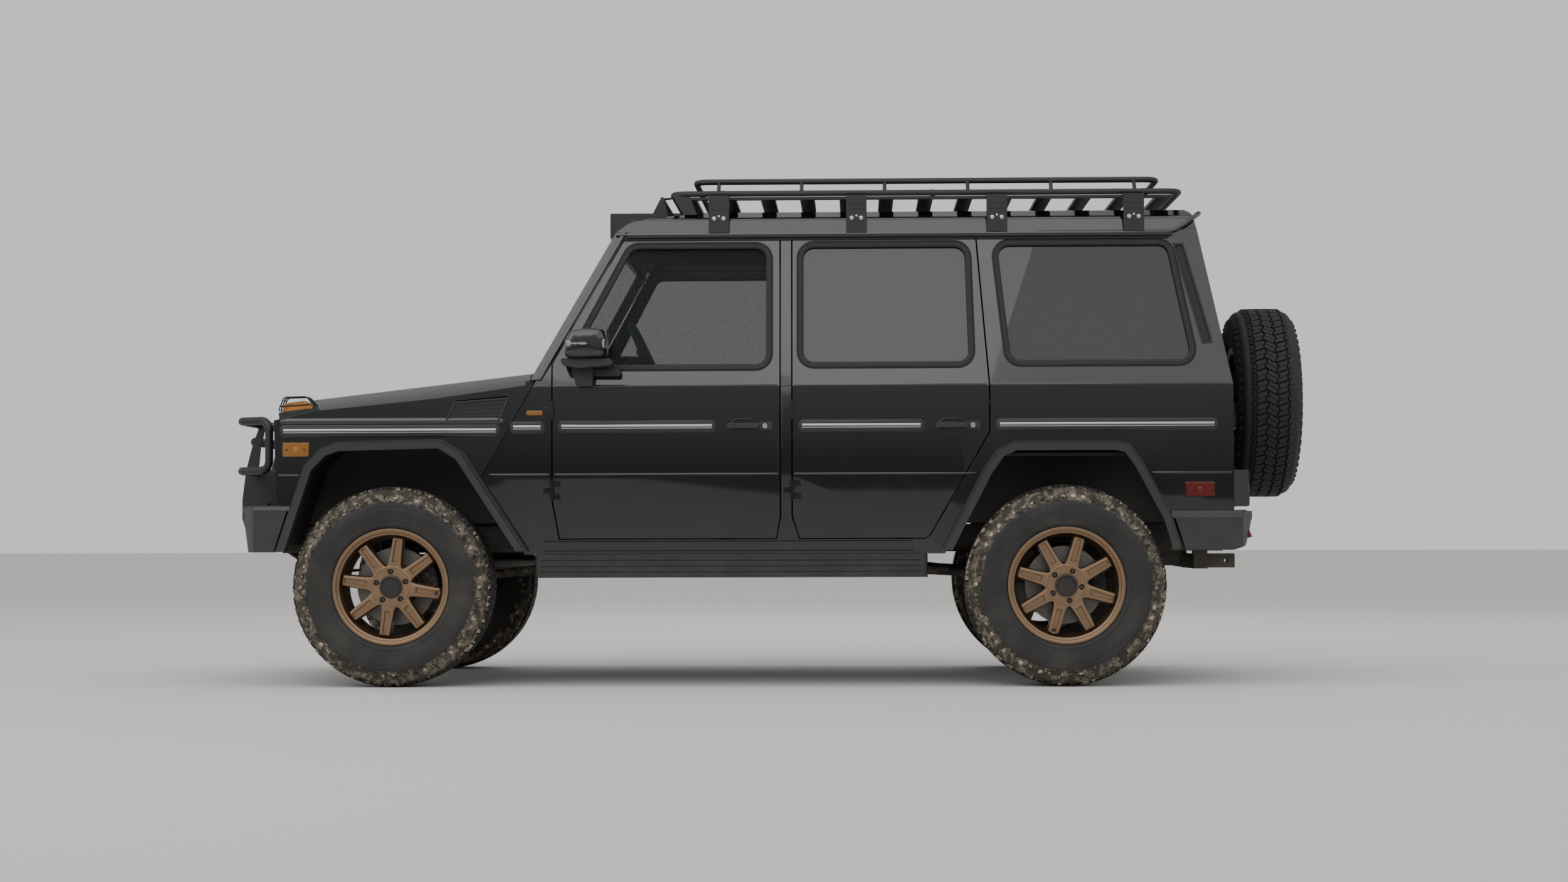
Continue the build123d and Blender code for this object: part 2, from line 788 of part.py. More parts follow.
panel_low_z = 700
grille_half = 330
lamp_y = 490
lamp_z = 960
lamp_r = 98
with BuildPart() as front_panel:
    with BuildSketch(Plane.YZ.offset(behind_front(-492))):
        with Locations((0, (panel_low_z + 1100) / 2)):
            Rectangle(2 * fender_inner - 2 * seat, 1100 - panel_low_z)
    extrude(amount=38)
    with BuildSketch(Plane.YZ.offset(behind_front(-492))):
        with Locations((0, 955)):
            RectangleRounded(2 * grille_half, 230, 20)
        with Locations((lamp_y, lamp_z), (-lamp_y, lamp_z)):
            Circle(lamp_r)
    extrude(amount=60, mode=Mode.SUBTRACT)
    with BuildSketch(Plane.YZ.offset(behind_front(-450))):
        with Locations((0, 910)):
            Rectangle(2 * grille_half + 80, 340)
    extrude(amount=42)
    for z in (890, 955, 1020):
        with BuildSketch(Plane.YZ.offset(behind_front(-500))):
            with Locations((0, z)):
                Rectangle(2 * grille_half, 26)
        extrude(amount=34)
    with BuildSketch(Plane.YZ.offset(behind_front(-526))):
        with Locations((lamp_y, lamp_z), (-lamp_y, lamp_z)):
            Circle(lamp_r + 22)
            Circle(lamp_r, mode=Mode.SUBTRACT)
        with Locations((0, 955)):
            RectangleRounded(2 * grille_half + 28, 258, 30)
            RectangleRounded(2 * grille_half, 230, 20, mode=Mode.SUBTRACT)
    extrude(amount=14)

lamp_profile = [(-430, 0), (-430, 50), (-500, lamp_r - seat), (-540, lamp_r - seat), (-551, 62), (-556, 0)]
with BuildPart() as headlamps:
    with BuildSketch(Plane.XY):
        with BuildLine():
            Polyline(*[(behind_front(distance), r) for distance, r in lamp_profile], close=True)
        make_face()
    revolve(axis=Axis.X)
lamp_shape = headlamps.part
with BuildPart() as headlamps:
    with Locations((0, lamp_y, lamp_z), (0, -lamp_y, lamp_z)):
        add(lamp_shape)

# Flares round the four wheel openings
flare_slope = 22
with BuildPart() as flares:
    for outline in (front_arch, rear_arch):
        add(prism_across(outline, body_half, flare_half - flare_slope))
        add(prism_across(outline, flare_half - flare_slope, flare_half, grow=-flare_slope / 2))
        add(prism_across(outline, body_half - 20, flare_half + 1, grow=-flare_band), mode=Mode.SUBTRACT)
    with BuildSketch(Plane.XY):
        Rectangle(2 * length, 4 * body_half)
    extrude(amount=sill_z + 14, mode=Mode.SUBTRACT)
    mirror(about=Plane.XZ)

# Ladder frame, its cross tubes, outriggers, spring towers and skid plate
rail_y = 370
rail_half_wide = 30
cross_half = rail_y - rail_half_wide - seat
chassis_low = 565
chassis_high = 685
chassis_front_x = behind_front(-560)
chassis_rear_x = behind_rear(716)
outrigger_y = 720
board_low = 462
cross_stations = [behind_front(-470), behind_front(480), behind_front(1040), behind_front(1600),
                  behind_rear(-420), behind_rear(300), behind_rear(600)]
outrigger_stations = [behind_front(680), behind_front(1400), behind_rear(-680), behind_rear(640)]
damper_x = 105
spring_y = 470
damper_seat_wide = spring_y + 30 - rail_y
link_reach = 820
link_z = 520
link_eye_r = 26
link_eye_half = 24
link_pin_r = 9
cheek = 8
link_eyes = [front_axle_x - link_reach, rear_axle_x + link_reach]


cheek_low, cheek_high = link_z - 30, chassis_low + 5


def link_bracket(x, y):
    """Two cheeks under a frame rail, with the pin of a radius arm's eye."""
    with BuildPart() as bracket:
        for side in (-1, 1):
            low = y + side * (link_eye_half + 0.5 + cheek / 2) - cheek / 2
            add(plate(x, (cheek_low + cheek_high) / 2, 70, cheek_high - cheek_low, 12, low, low + cheek))
        with BuildSketch(Plane.XZ.offset(-y - link_eye_half - cheek)):
            with Locations((x, link_z)):
                Circle(link_pin_r)
        extrude(amount=2 * (link_eye_half + cheek))
    return bracket.part


with BuildPart() as ladder_frame:
    for side in (1, -1):
        with BuildSketch(Plane.YZ.offset(chassis_rear_x)):
            with Locations((side * rail_y, (chassis_low + chassis_high) / 2)):
                Rectangle(2 * rail_half_wide, chassis_high - chassis_low)
        extrude(amount=chassis_front_x - chassis_rear_x)
    with BuildSketch(Plane.XZ.offset(-cross_half)):
        with Locations(*[(x, (chassis_low + chassis_high) / 2) for x in cross_stations]):
            Circle(38)
    extrude(amount=2 * cross_half)
    with BuildSketch(Plane.XY.offset(chassis_high - 70)):
        outrigger_mid = (outrigger_y + rail_y) / 2
        with Locations(*[(x, side * outrigger_mid) for x in outrigger_stations for side in (-1, 1)]):
            Rectangle(70, outrigger_y - rail_y)
        with Locations(*[(x, side * (rail_y + 85)) for x in (front_axle_x, rear_axle_x) for side in (-1, 1)]):
            Rectangle(120, 170)
        with Locations(*[(x, side * (rail_y + damper_seat_wide / 2)) for side in (-1, 1)
                         for x in (front_axle_x + damper_x, rear_axle_x - damper_x)]):
            Rectangle(70, damper_seat_wide)
    extrude(amount=70)
    with BuildSketch(Plane.XY.offset(board_low + 20)):
        with Locations(*[(x, side * (outrigger_y - 15)) for x in outrigger_stations[:3] for side in (-1, 1)]):
            Rectangle(44, 30)
    extrude(amount=chassis_high - 70 - board_low - 20)
    with BuildSketch(Plane.XY.offset(chassis_high)):
        with Locations(*[(x, y) for x in outrigger_stations for y in (-690, 690)]):
            Circle(26)
    extrude(amount=floor_z - chassis_high)
    for x in link_eyes:
        for side in (-1, 1):
            add(link_bracket(x, side * rail_y))

# Axles: tube, differential and the forks that carry the kingpins
axle_z = tyre_radius
axle_tube_r = 46
kingpin_y = 655
fork_in = 560
fork_half_gap = 82
fork_arm = 22
kingpin_r = 14
diff_y = -170
diff_r = 130

nose_r = 34
nose_rise = 36
nose_out = 150
flange_long = 30
damper_plate_z = axle_z - 17
damper_plate_thick = 24


def radius_arm(x, eye_x, y):
    """A trailing or leading arm from an axle's tube to its eye under the frame."""
    with BuildPart() as arm:
        add(bar([(x, y, axle_z), (eye_x, y, link_z)], 20))
        with BuildSketch(Plane.XZ.offset(-y - link_eye_half)):
            with Locations((eye_x, link_z)):
                Circle(link_eye_r)
        extrude(amount=2 * link_eye_half)
        with BuildSketch(Plane.XZ.offset(-y - link_eye_half - 1)):
            with Locations((eye_x, link_z)):
                Circle(link_pin_r + running)
        extrude(amount=2 * link_eye_half + 2, mode=Mode.SUBTRACT)
    return arm.part


def axle_beam(x, end_y, inward, eye_x):
    """A beam axle: tube, differential to the right with its nose inward, arms and damper plates outward."""
    with BuildPart() as beam:
        for side in (-1, 1):
            add(radius_arm(x, eye_x, side * rail_y))
        low, high = sorted((x, x - inward * (damper_x + 30)))
        with BuildSketch(Plane.XY.offset(damper_plate_z)):
            with Locations(((low + high) / 2, spring_y), ((low + high) / 2, -spring_y)):
                Rectangle(high - low, 60)
        extrude(amount=damper_plate_thick)
        with BuildSketch(Plane.YZ.offset(min(x, x + inward * nose_out))):
            with Locations((diff_y, axle_z + nose_rise)):
                Circle(nose_r)
        extrude(amount=nose_out)
        with BuildSketch(Plane.XZ.offset(-end_y)):
            with Locations((x, axle_z)):
                Circle(axle_tube_r)
        extrude(amount=2 * end_y)
        with BuildSketch(Plane(origin=(x, 0, axle_z), x_dir=(0, 1, 0), z_dir=(0, 0, 1))):
            with BuildLine():
                Polyline((diff_y - 150, 0), (diff_y - 150, -48), (diff_y - 80, -diff_r + 12),
                         (diff_y - 40, -diff_r), (diff_y + 40, -diff_r), (diff_y + 80, -diff_r + 12),
                         (diff_y + 150, -48), (diff_y + 150, 0), close=True)
            make_face()
        revolve(axis=Axis(origin=(x, 0, axle_z), direction=(0, 1, 0)))
    return beam.part


with BuildPart() as front_axle:
    add(axle_beam(front_axle_x, fork_in + 5, -1, link_eyes[0]))
    for side in (1, -1):
        low, high = sorted((side * fork_in, side * (fork_in + 20)))
        with BuildSketch(Plane.XZ.offset(-high)):
            with Locations((front_axle_x, axle_z)):
                Rectangle(76, 2 * (fork_half_gap + fork_arm))
        extrude(amount=20)
        for low_z in (axle_z + fork_half_gap, axle_z - fork_half_gap - fork_arm):
            with BuildSketch(Plane.XY.offset(low_z)):
                with Locations((front_axle_x, side * (fork_in + kingpin_y) / 2)):
                    Rectangle(76, kingpin_y - fork_in)
                with Locations((front_axle_x, side * kingpin_y)):
                    Circle(38)
            extrude(amount=fork_arm)
        with BuildSketch(Plane.XY.offset(axle_z - 200)):
            with Locations((front_axle_x, side * kingpin_y)):
                Circle(kingpin_r + running)
        extrude(amount=400, mode=Mode.SUBTRACT)

spindle_r = 25
spindle_out = 790
with BuildPart() as rear_axle:
    add(axle_beam(rear_axle_x, 690, 1, link_eyes[1]))
    with BuildSketch(Plane.XZ.offset(-spindle_out)):
        with Locations((rear_axle_x, axle_z)):
            Circle(spindle_r)
    extrude(amount=2 * spindle_out)

# Knuckles with kingpin, spindle, steering arm and caliper, and the tie rod
arm_back = 225
arm_in = 75
ball_r = 12
tie_rod_z = axle_z - 30
disc_r = 165
disc_in = 708
disc_thick = 22
arm_over = 18
ball_x = front_axle_x - arm_back
ball_y = kingpin_y - arm_in


def knuckle():
    """The left knuckle's block, kingpin, spindle and steering arm, without the rod's pin."""
    with BuildPart() as body:
        with BuildSketch(Plane.XY.offset(axle_z - fork_half_gap + 3)):
            with Locations((front_axle_x, (625 + 700) / 2)):
                RectangleRounded(84, 75, 12)
        extrude(amount=2 * fork_half_gap - 6)
        with BuildSketch(Plane.XY.offset(axle_z - fork_half_gap - fork_arm)):
            with Locations((front_axle_x, kingpin_y)):
                Circle(kingpin_r)
        extrude(amount=2 * (fork_half_gap + fork_arm))
        with BuildSketch(Plane.XZ.offset(-spindle_out)):
            with Locations((front_axle_x, axle_z)):
                Circle(spindle_r)
        extrude(amount=spindle_out - 690)
        with BuildSketch(Plane.XY.offset(tie_rod_z + arm_over)):
            with BuildLine():
                Polyline((front_axle_x - 30, kingpin_y + 18), (ball_x - 16, ball_y + 16),
                         (ball_x - 16, ball_y - 16), (front_axle_x - 30, kingpin_y - 28), close=True)
            make_face()
        extrude(amount=18)
    return body.part


with BuildPart() as knuckle_left:
    add(knuckle())
    with BuildSketch(Plane.XY.offset(tie_rod_z - 16)):
        with Locations((ball_x, ball_y)):
            Circle(ball_r)
    extrude(amount=40)

# The linkage opens at the rod's right eye: no pin reaches down into it
with BuildPart() as knuckle_right:
    mirror(knuckle(), about=Plane.XZ)

with BuildPart() as tie_rod:
    with BuildSketch(Plane.XZ.offset(-(ball_y - 20))):
        with Locations((ball_x, tie_rod_z)):
            Circle(15)
    extrude(amount=2 * (ball_y - 20))
    with BuildSketch(Plane.XY.offset(tie_rod_z - 15)):
        with Locations((ball_x, ball_y), (ball_x, -ball_y)):
            Circle(22)
    extrude(amount=30)
    with BuildSketch(Plane.XY.offset(tie_rod_z - 30)):
        with Locations((ball_x, ball_y)):
            Circle(ball_r + running)
    extrude(amount=60, mode=Mode.SUBTRACT)

# Springs, dampers, links, engine, gearbox, shafts, tank and exhaust
spring_r = 58
wire_r = 8
cup_thick = 7
spring_low = axle_z + axle_tube_r + seat
spring_high = chassis_high - 70 - seat
spring_turns = 4
damper_r = 25
damper_rod_r = 9
damper_low = damper_plate_z + damper_plate_thick + seat
coil_corners = 10
coil_seat = wire_r - cup_thick + 0.5
coil_gap = spring_high - spring_low - 2 * cup_thick
coil_r = spring_r - wire_r
coil_rise = (coil_gap - 2 * coil_seat) / (coil_corners * spring_turns)
coil_path = [(coil_r * cos(radians(360 / coil_corners * i)), coil_r * sin(radians(360 / coil_corners * i)),
              coil_seat + coil_rise * i) for i in range(coil_corners * spring_turns + 1)]
coil_bend = 0.45 * 2 * coil_r * cos(radians(180 / coil_corners))
with BuildPart() as coil:
    add(bar(coil_path, wire_r, coil_bend))
    for z in (-cup_thick, coil_gap):
        with BuildSketch(Plane.XY.offset(z)):
            Circle(spring_r)
        extrude(amount=cup_thick)

with BuildPart() as springs:
    with Locations(*[(x, y, spring_low + cup_thick) for x in (front_axle_x, rear_axle_x)
                     for y in (-spring_y, spring_y)]):
        add(coil.part)
    damper_places = [(x, y) for x in (front_axle_x + damper_x, rear_axle_x - damper_x)
                     for y in (-spring_y, spring_y)]
    with BuildSketch(Plane.XY.offset(damper_low)):
        with Locations(*damper_places):
            Circle(damper_r)
    extrude(amount=118)
    with BuildSketch(Plane.XY.offset(damper_low)):
        with Locations(*damper_places):
            Circle(damper_rod_r)
    extrude(amount=spring_high - damper_low)

case_front_x = behind_front(1080)
case_rear_x = behind_front(1340)
case_low = 482
shaft_z = 532
shaft_tube_r = 27
cross_top = (chassis_low + chassis_high) / 2 + 38
with BuildPart() as drivetrain:
    with BuildSketch(Plane.XY.offset(cross_top + 20)):
        with Locations((behind_front(40), 0)):
            Rectangle(760, 480)
    extrude(amount=430)
    with BuildSketch(Plane.XY.offset(chassis_high)):
        with Locations((behind_front(40), 0)):
            Rectangle(90, 2 * (rail_y + 20))
    extrude(amount=40)
    with BuildSketch(Plane.YZ.offset(behind_front(1080))):
        with Locations((0, (cross_top + seat + 830) / 2)):
            Rectangle(200, 830 - cross_top - seat)
    extrude(amount=700)
    with BuildSketch(Plane.XY.offset(case_low)):
        with Locations(((case_front_x + case_rear_x) / 2, -70)):
            RectangleRounded(case_front_x - case_rear_x, 290, 30)
    extrude(amount=chassis_high - 5 - case_low)
    shaft_runs = ((case_front_x, front_axle_x - nose_out - seat), (case_rear_x, rear_axle_x + nose_out + seat))
    for start_x, end_x in shaft_runs:
        way = 1 if end_x > start_x else -1
        add(bar([(start_x, diff_y, shaft_z), (end_x - way * 0.7 * flange_long, diff_y, axle_z + nose_rise)],
                shaft_tube_r))
        for x, z in ((start_x, shaft_z), (end_x - way * flange_long, axle_z + nose_rise)):
            with BuildSketch(Plane.YZ.offset(min(x, x + way * flange_long))):
                with Locations((diff_y, z)):
                    Circle(nose_r)
            extrude(amount=flange_long)

with BuildPart() as fuel_tank:
    with BuildSketch(Plane.XY.offset(500)):
        with Locations((behind_rear(450), 0)):
            RectangleRounded(200, 2 * (rail_y - rail_half_wide) - 2 * seat, 30)
    extrude(amount=160)

exhaust_y = 240
exhaust_z = 520
with BuildPart() as exhaust:
    add(bar([(behind_front(300), exhaust_y, exhaust_z), (behind_front(1930), exhaust_y, exhaust_z),
             (behind_front(1930), outrigger_y - 25, exhaust_z)], 30, 90))
    with BuildSketch(Plane.YZ.offset(behind_front(1810))):
        with Locations((exhaust_y - 20, exhaust_z)):
            Ellipse(95, 50)
    extrude(amount=360)
    for x in cross_stations[2:4]:
        add(bar([(x, exhaust_y, exhaust_z), (x, exhaust_y, cross_top - 76 - seat)], 8))

# Running boards, bumpers, bull bar and tow hitch
board_front_x = behind_front(612)
board_rear_x = behind_rear(-582)
board_out = 880
board_high = 560
board_ribs = (485, 509, 533)
rib_tall = 5
rib_deep = 4
tread_lines = (760, 785, 810, 835)
with BuildPart() as running_boards:
    with BuildSketch(Plane.XY.offset(board_low)):
        with Locations(((board_front_x + board_rear_x) / 2, (outrigger_y + seat + board_out) / 2)):
            RectangleRounded(board_front_x - board_rear_x, board_out - outrigger_y - seat, 24)
    extrude(amount=board_high - board_low - seat)
    board_long = board_front_x - board_rear_x - 60
    with BuildSketch(Plane.XZ.offset(-board_out)):
        with Locations(*[((board_front_x + board_rear_x) / 2, z) for z in board_ribs]):
            Rectangle(board_long, rib_tall)
    extrude(amount=rib_deep, mode=Mode.SUBTRACT)
    with BuildSketch(Plane.XY.offset(board_high - seat)):
        with Locations(*[((board_front_x + board_rear_x) / 2, y) for y in tread_lines]):
            Rectangle(board_long, 2 * rib_tall)
    extrude(amount=-rib_deep, mode=Mode.SUBTRACT)
    mirror(about=Plane.XZ)

bumper_half = 862
bumper_wing_in = body_half + 1
bumper_low, bumper_high = 572, 768
lip_low = 744
bumper_front_x = behind_front(-668)
bumper_mid = (14, 700)
bumper_foot = (46, bumper_low)


def bumper_face_x(z):
    """x of the front bumper's face below its lip, at a height."""
    share = (bumper_mid[1] - z) / (bumper_mid[1] - bumper_foot[1])
    return bumper_front_x - bumper_mid[0] - share * (bumper_foot[0] - bumper_mid[0])


front_bumper_plan = [
    (behind_front(-560), -690),
    (behind_front(-500), -700),
    (behind_front(-500), -bumper_wing_in),
    (behind_front(-430), -bumper_wing_in),
    (behind_front(-430), -bumper_half),
    (behind_front(-585), -bumper_half),
    (bumper_front_x, -700),
]
front_bumper_section = [
    (behind_front(-436), bumper_high),
    (bumper_front_x - 7, bumper_high),
    (bumper_front_x, bumper_high - 8),
    (bumper_front_x, lip_low),
    (bumper_front_x - 9, lip_low - 6),
    (bumper_front_x - bumper_mid[0], bumper_mid[1]),
    (bumper_front_x - bumper_foot[0], bumper_foot[1]),
    (behind_front(-500), bumper_low),
    (behind_front(-444), bumper_high - 24),
]
skid_profile = [
    (behind_front(-610), 578),
    (behind_front(-562), 578),
    (behind_front(-425), 484),
    (behind_front(-300), 484),
    (behind_front(-300), 476),
    (behind_front(-427), 476),
    (behind_front(-565), 570),
    (behind_front(-610), 570),
]
with BuildPart() as front_bumper:
    with BuildSketch(Plane.XY.offset(bumper_low)) as plan:
        with BuildLine():
            Polyline(*front_bumper_plan, *[(x, -y) for x, y in front_bumper_plan[::-1]], close=True)
        make_face()
        fillet(plan.vertices().group_by(Axis.X)[-1], 60)
    extrude(amount=bumper_high - bumper_low)
    add(prism_across(front_bumper_section, -length, length), mode=Mode.INTERSECT)
    add(prism_across(skid_profile, -310, 310))

bull_r = 20
bull_plate_y = 250
bull_plate_thick = 12
hoop_r = 17.5
hoop_z = (922, 1138)
hoop_y = 690
hoop_rear_x = behind_front(-556)
hoop_front_x = behind_front(-front_overhang) - 74
bull_plate = [
    (behind_front(-690), 1146),
    (behind_front(-728), 1040),
    (behind_front(-756), 930),
    (behind_front(-front_overhang), 800),
    (behind_front(-front_overhang), 720),
    (behind_front(-752), 650),
    (behind_front(-718), 596),
    (behind_front(-690), 586),
    (bumper_face_x(610) + seat, 610),
    (bumper_face_x(690) + seat, 690),
    (behind_front(-706), 770),
    (behind_front(-704), 900),
    (behind_front(-690), 1040),
    (behind_front(-664), 1146),
]
with BuildPart() as bull_bar:
    for side in (1, -1):
        plate_low = side * bull_plate_y - bull_plate_thick / 2
        add(prism_across(bull_plate, plate_low, plate_low + bull_plate_thick, radius=4))
        ends = [(hoop_front_x, side * bull_plate_y, z) for z in hoop_z]
        corners = [(hoop_front_x, side * (hoop_y - 90), z) for z in hoop_z]
        backs = [(hoop_rear_x, side * hoop_y, z) for z in hoop_z]
        add(bar([ends[1], corners[1], backs[1], backs[0], corners[0], ends[0]], hoop_r, 46))
    for x, z in ((hoop_front_x, hoop_z[1]), (behind_front(-716), 1060), (hoop_front_x - 14, hoop_z[0])):
        add(bar([(x, -bull_plate_y, z), (x, bull_plate_y, z)], bull_r))

rear_bumper_plan = [
    (behind_rear(716), -690),
    (behind_rear(716), -bumper_wing_in),
    (behind_rear(440), -bumper_wing_in),
    (behind_rear(440), -bumper_half),
    (behind_rear(740), -bumper_half),
    (behind_rear(804), -690),
]
rear_bumper_low, rear_bumper_high = 572, 736
rear_bumper_section = [
    (behind_rear(442), rear_bumper_high),
    (behind_rear(804), rear_bumper_high),
    (behind_rear(804), rear_bumper_high - 34),
    (behind_rear(796), rear_bumper_high - 40),
    (behind_rear(792), 680),
    (behind_rear(758), rear_bumper_low + 18),
    (behind_rear(700), rear_bumper_low),
    (behind_rear(500), rear_bumper_low),
    (behind_rear(454), 712),
]
with BuildPart() as rear_bumper:
    with BuildSketch(Plane.XY.offset(rear_bumper_low)) as plan:
        with BuildLine():
            Polyline(*rear_bumper_plan, *[(x, -y) for x, y in rear_bumper_plan[::-1]], close=True)
        make_face()
        fillet(plan.vertices().group_by(Axis.X)[0], 60)
    extrude(amount=rear_bumper_high - rear_bumper_low)
    add(prism_across(rear_bumper_section, -length, length), mode=Mode.INTERSECT)

hitch_in = 25.4
hitch_out = 31.75
hitch_z = 517
hitch_rear_x = behind_rear(820)
hitch_pin_r = 8.2
hitch_pin_back = 40
with BuildPart() as tow_hitch:
    with BuildSketch(Plane.YZ.offset(hitch_rear_x)):
        with Locations((0, hitch_z)):
            Rectangle(2 * hitch_out, 2 * hitch_out)
    extrude(amount=230)
    with BuildSketch(Plane.XZ.offset(-rail_y - 30)):
        with Locations((behind_rear(620), hitch_z)):
            Rectangle(60, 60)
    extrude(amount=2 * rail_y + 60)
    with BuildSketch(Plane.XY.offset(hitch_z)):
        with Locations((behind_rear(620), rail_y), (behind_rear(620), -rail_y)):
            Rectangle(60, 60)
    extrude(amount=chassis_low - hitch_z)
    with BuildSketch(Plane.YZ.offset(hitch_rear_x)):
        with Locations((0, hitch_z)):
            Rectangle(2 * hitch_in, 2 * hitch_in)
    extrude(amount=200, mode=Mode.SUBTRACT)
    with BuildSketch(Plane.XZ.offset(-hitch_out - 1)):
        with Locations((hitch_rear_x + hitch_pin_back, hitch_z)):
            Circle(hitch_pin_r)
    extrude(amount=2 * hitch_out + 2, mode=Mode.SUBTRACT)

# Wheels, built lying flat about the z axis with the outer face up
rim_r = 247
rim_half = 125
spoke_count = 8
spoke_face = 106
pocket_deep = 9
lug_count = 5
lug_circle_r = 65
lug_hole_r = 12
lug_deep = 24
valve_r = 196
cap_r = 46
rim_line = [(205, 28), (205, -57), (222, -70), (222, -118), (rim_r - 8, -rim_half), (rim_r, -rim_half),
            (rim_r, -119), (229, -117), (229, -66), (213, -54), (213, 26), (229, 44), (229, 117),
            (rim_r, 119), (rim_r, rim_half), (rim_r - 7, rim_half), (218, 112), (218, 60)]
with BuildPart() as rim_shape:
    with BuildSketch(Plane.XZ):
        with BuildLine():
            Polyline(*rim_line, close=True)
        make_face()
    revolve(axis=Axis.Z)
    with BuildSketch(Plane.XY.offset(hub_face)) as hub_disc:
        Circle(90)
    extrude(amount=48)
    with BuildSketch(Plane.XY.offset(62)) as spokes:
        with PolarLocations(0, spoke_count):
            Polygon((80, 29), (80, -29), (104, -26), (221, -21), (221, 21), (104, 26), align=None)
    extrude(amount=spoke_face - 62)
    with BuildSketch(Plane.XY.offset(spoke_face)):
        with PolarLocations(0, spoke_count):
            Polygon((106, 11), (106, -11), (208, -8.5), (208, 8.5), align=None)
        with PolarLocations(lug_circle_r, lug_count, start_angle=18):
            Circle(lug_hole_r)
        with Locations((-valve_r, 0)):
            Circle(15)
    extrude(amount=-pocket_deep, mode=Mode.SUBTRACT)
    with BuildSketch(Plane.XY.offset(spoke_face)):
        with PolarLocations(lug_circle_r, lug_count, start_angle=18):
            Circle(lug_hole_r)
    extrude(amount=-lug_deep, mode=Mode.SUBTRACT)
    with BuildSketch(Plane.XY.offset(spoke_face - 6)):
        Circle(cap_r)
    extrude(amount=18)
    with BuildSketch(Plane.XY.offset(spoke_face + 12)):
        Circle(cap_r - 10)
    extrude(amount=-3, mode=Mode.SUBTRACT)
    with BuildSketch(Plane.XY.offset(hub_face - 1)):
        Circle(spindle_r + running)
    extrude(amount=spindle_out - half_track - hub_face + 4, mode=Mode.SUBTRACT)

with BuildPart() as wheel_shape:
    add(rim_shape.part)
    with BuildSketch(Plane.XY.offset(disc_in - half_track)):
        Circle(disc_r)
    extrude(amount=disc_thick)
    with BuildSketch(Plane.XY.offset(disc_in - half_track)):
        Circle(62)
    extrude(amount=hub_face + half_track - disc_in)
    with BuildSketch(Plane.XY.offset(disc_in - half_track - 1)):
        Circle(spindle_r + running)
    extrude(amount=spindle_out - disc_in + 4, mode=Mode.SUBTRACT)

tyre_half = tyre_width / 2
widest_r = (rim_r + tyre_radius) / 2 - 6
shoulder_r = tyre_radius - 37
tread_edge_r = tyre_radius - 13
tread_thick = 25
wall_thick = 16.5
with BuildPart() as tyre_shape:
    with BuildSketch(Plane.XZ):
        with BuildLine():
            Polyline((229 + seat, -117 + seat), (rim_r + seat, -119 + seat), (rim_r + 2, -127),
                     (rim_r + 23, -tyre_half + 6.5), (widest_r, -tyre_half), (shoulder_r, -tyre_half + 6),
                     (tread_edge_r, -tyre_half + 18), (tyre_radius, -tyre_half + 40),
                     (tyre_radius, tyre_half - 40), (tread_edge_r, tyre_half - 18),
                     (shoulder_r, tyre_half - 6), (widest_r, tyre_half), (rim_r + 23, tyre_half - 6.5),
                     (rim_r + 2, 127), (rim_r + seat, 119 - seat), (229 + seat, 117 - seat),
                     (229 + seat, 96), (rim_r + 15, tyre_half - 30.5), (widest_r, tyre_half - wall_thick),
                     (tyre_radius - 33, tyre_half - 26.5), (tyre_radius - tread_thick, 0),
                     (tyre_radius - 33, -tyre_half + 26.5), (widest_r, -tyre_half + wall_thick),
                     (rim_r + 15, -tyre_half + 30.5), (229 + seat, -96), close=True)
        make_face()
    revolve(axis=Axis.Z)


def wheel_plane(x, side, y=half_track, turn=0):
    """The frame of a wheel on an axle, its outer face pointing away from the car."""
    spoke_dir = (cos(radians(turn)), 0, sin(radians(turn)))
    return Plane(origin=(x, side * y, axle_z), x_dir=spoke_dir, z_dir=(0, side, 0))


# Each corner's name, axle, side and the angle its wheel stands at
wheel_corners = [("front_left", front_axle_x, 1, 8), ("front_right", front_axle_x, -1, 31),
                 ("rear_left", rear_axle_x, 1, 106), ("rear_right", rear_axle_x, -1, 64)]
for corner, axle_x, side, turn in wheel_corners:
    for kind, shape in (("rim", wheel_shape), ("tyre", tyre_shape)):
        with BuildPart(wheel_plane(axle_x, side, turn=turn)) as wheel_piece:
            add(shape.part)
        save(wheel_piece, f"{kind}_{corner}")

# Spare wheel on the rear door
spare_plane = Plane(origin=(spare_x, 0, spare_z), x_dir=(0, 1, 0), z_dir=(-1, 0, 0))
with BuildPart(spare_plane) as spare_rim:
    add(rim_shape.part)
with BuildPart(spare_plane) as spare_tyre:
    add(tyre_shape.part)
save(spare_rim, "spare_rim")
save(spare_tyre, "spare_tyre")

# Cabin: seats, dashboard and steering wheel
seat_y = 370
with BuildPart() as front_seats:
    for side in (1, -1):
        cushion = [(behind_front(1130), floor_z + sheet), (behind_front(1130), 1090), (behind_front(1600), 1060),
                   (behind_front(1600), floor_z + sheet)]
        add(prism_across(cushion, side * seat_y - 250, side * seat_y + 250))
        backrest = [(behind_front(1560), 1060), (behind_front(1680), 1640), (behind_front(1790), 1640),
                    (behind_front(1690), 1060)]
        add(prism_across(backrest, side * seat_y - 240, side * seat_y + 240))
        headrest = [(behind_front(1690), 1676), (behind_front(1704), 1836), (behind_front(1790), 1836),
                    (behind_front(1800), 1676)]
        add(prism_across(headrest, side * seat_y - 130, side * seat_y + 130, radius=20))
        for y in (side * seat_y - 60, side * seat_y + 60):
            add(bar([(behind_front(1738), y, 1620), (behind_front(1746), y, 1700)], 7))
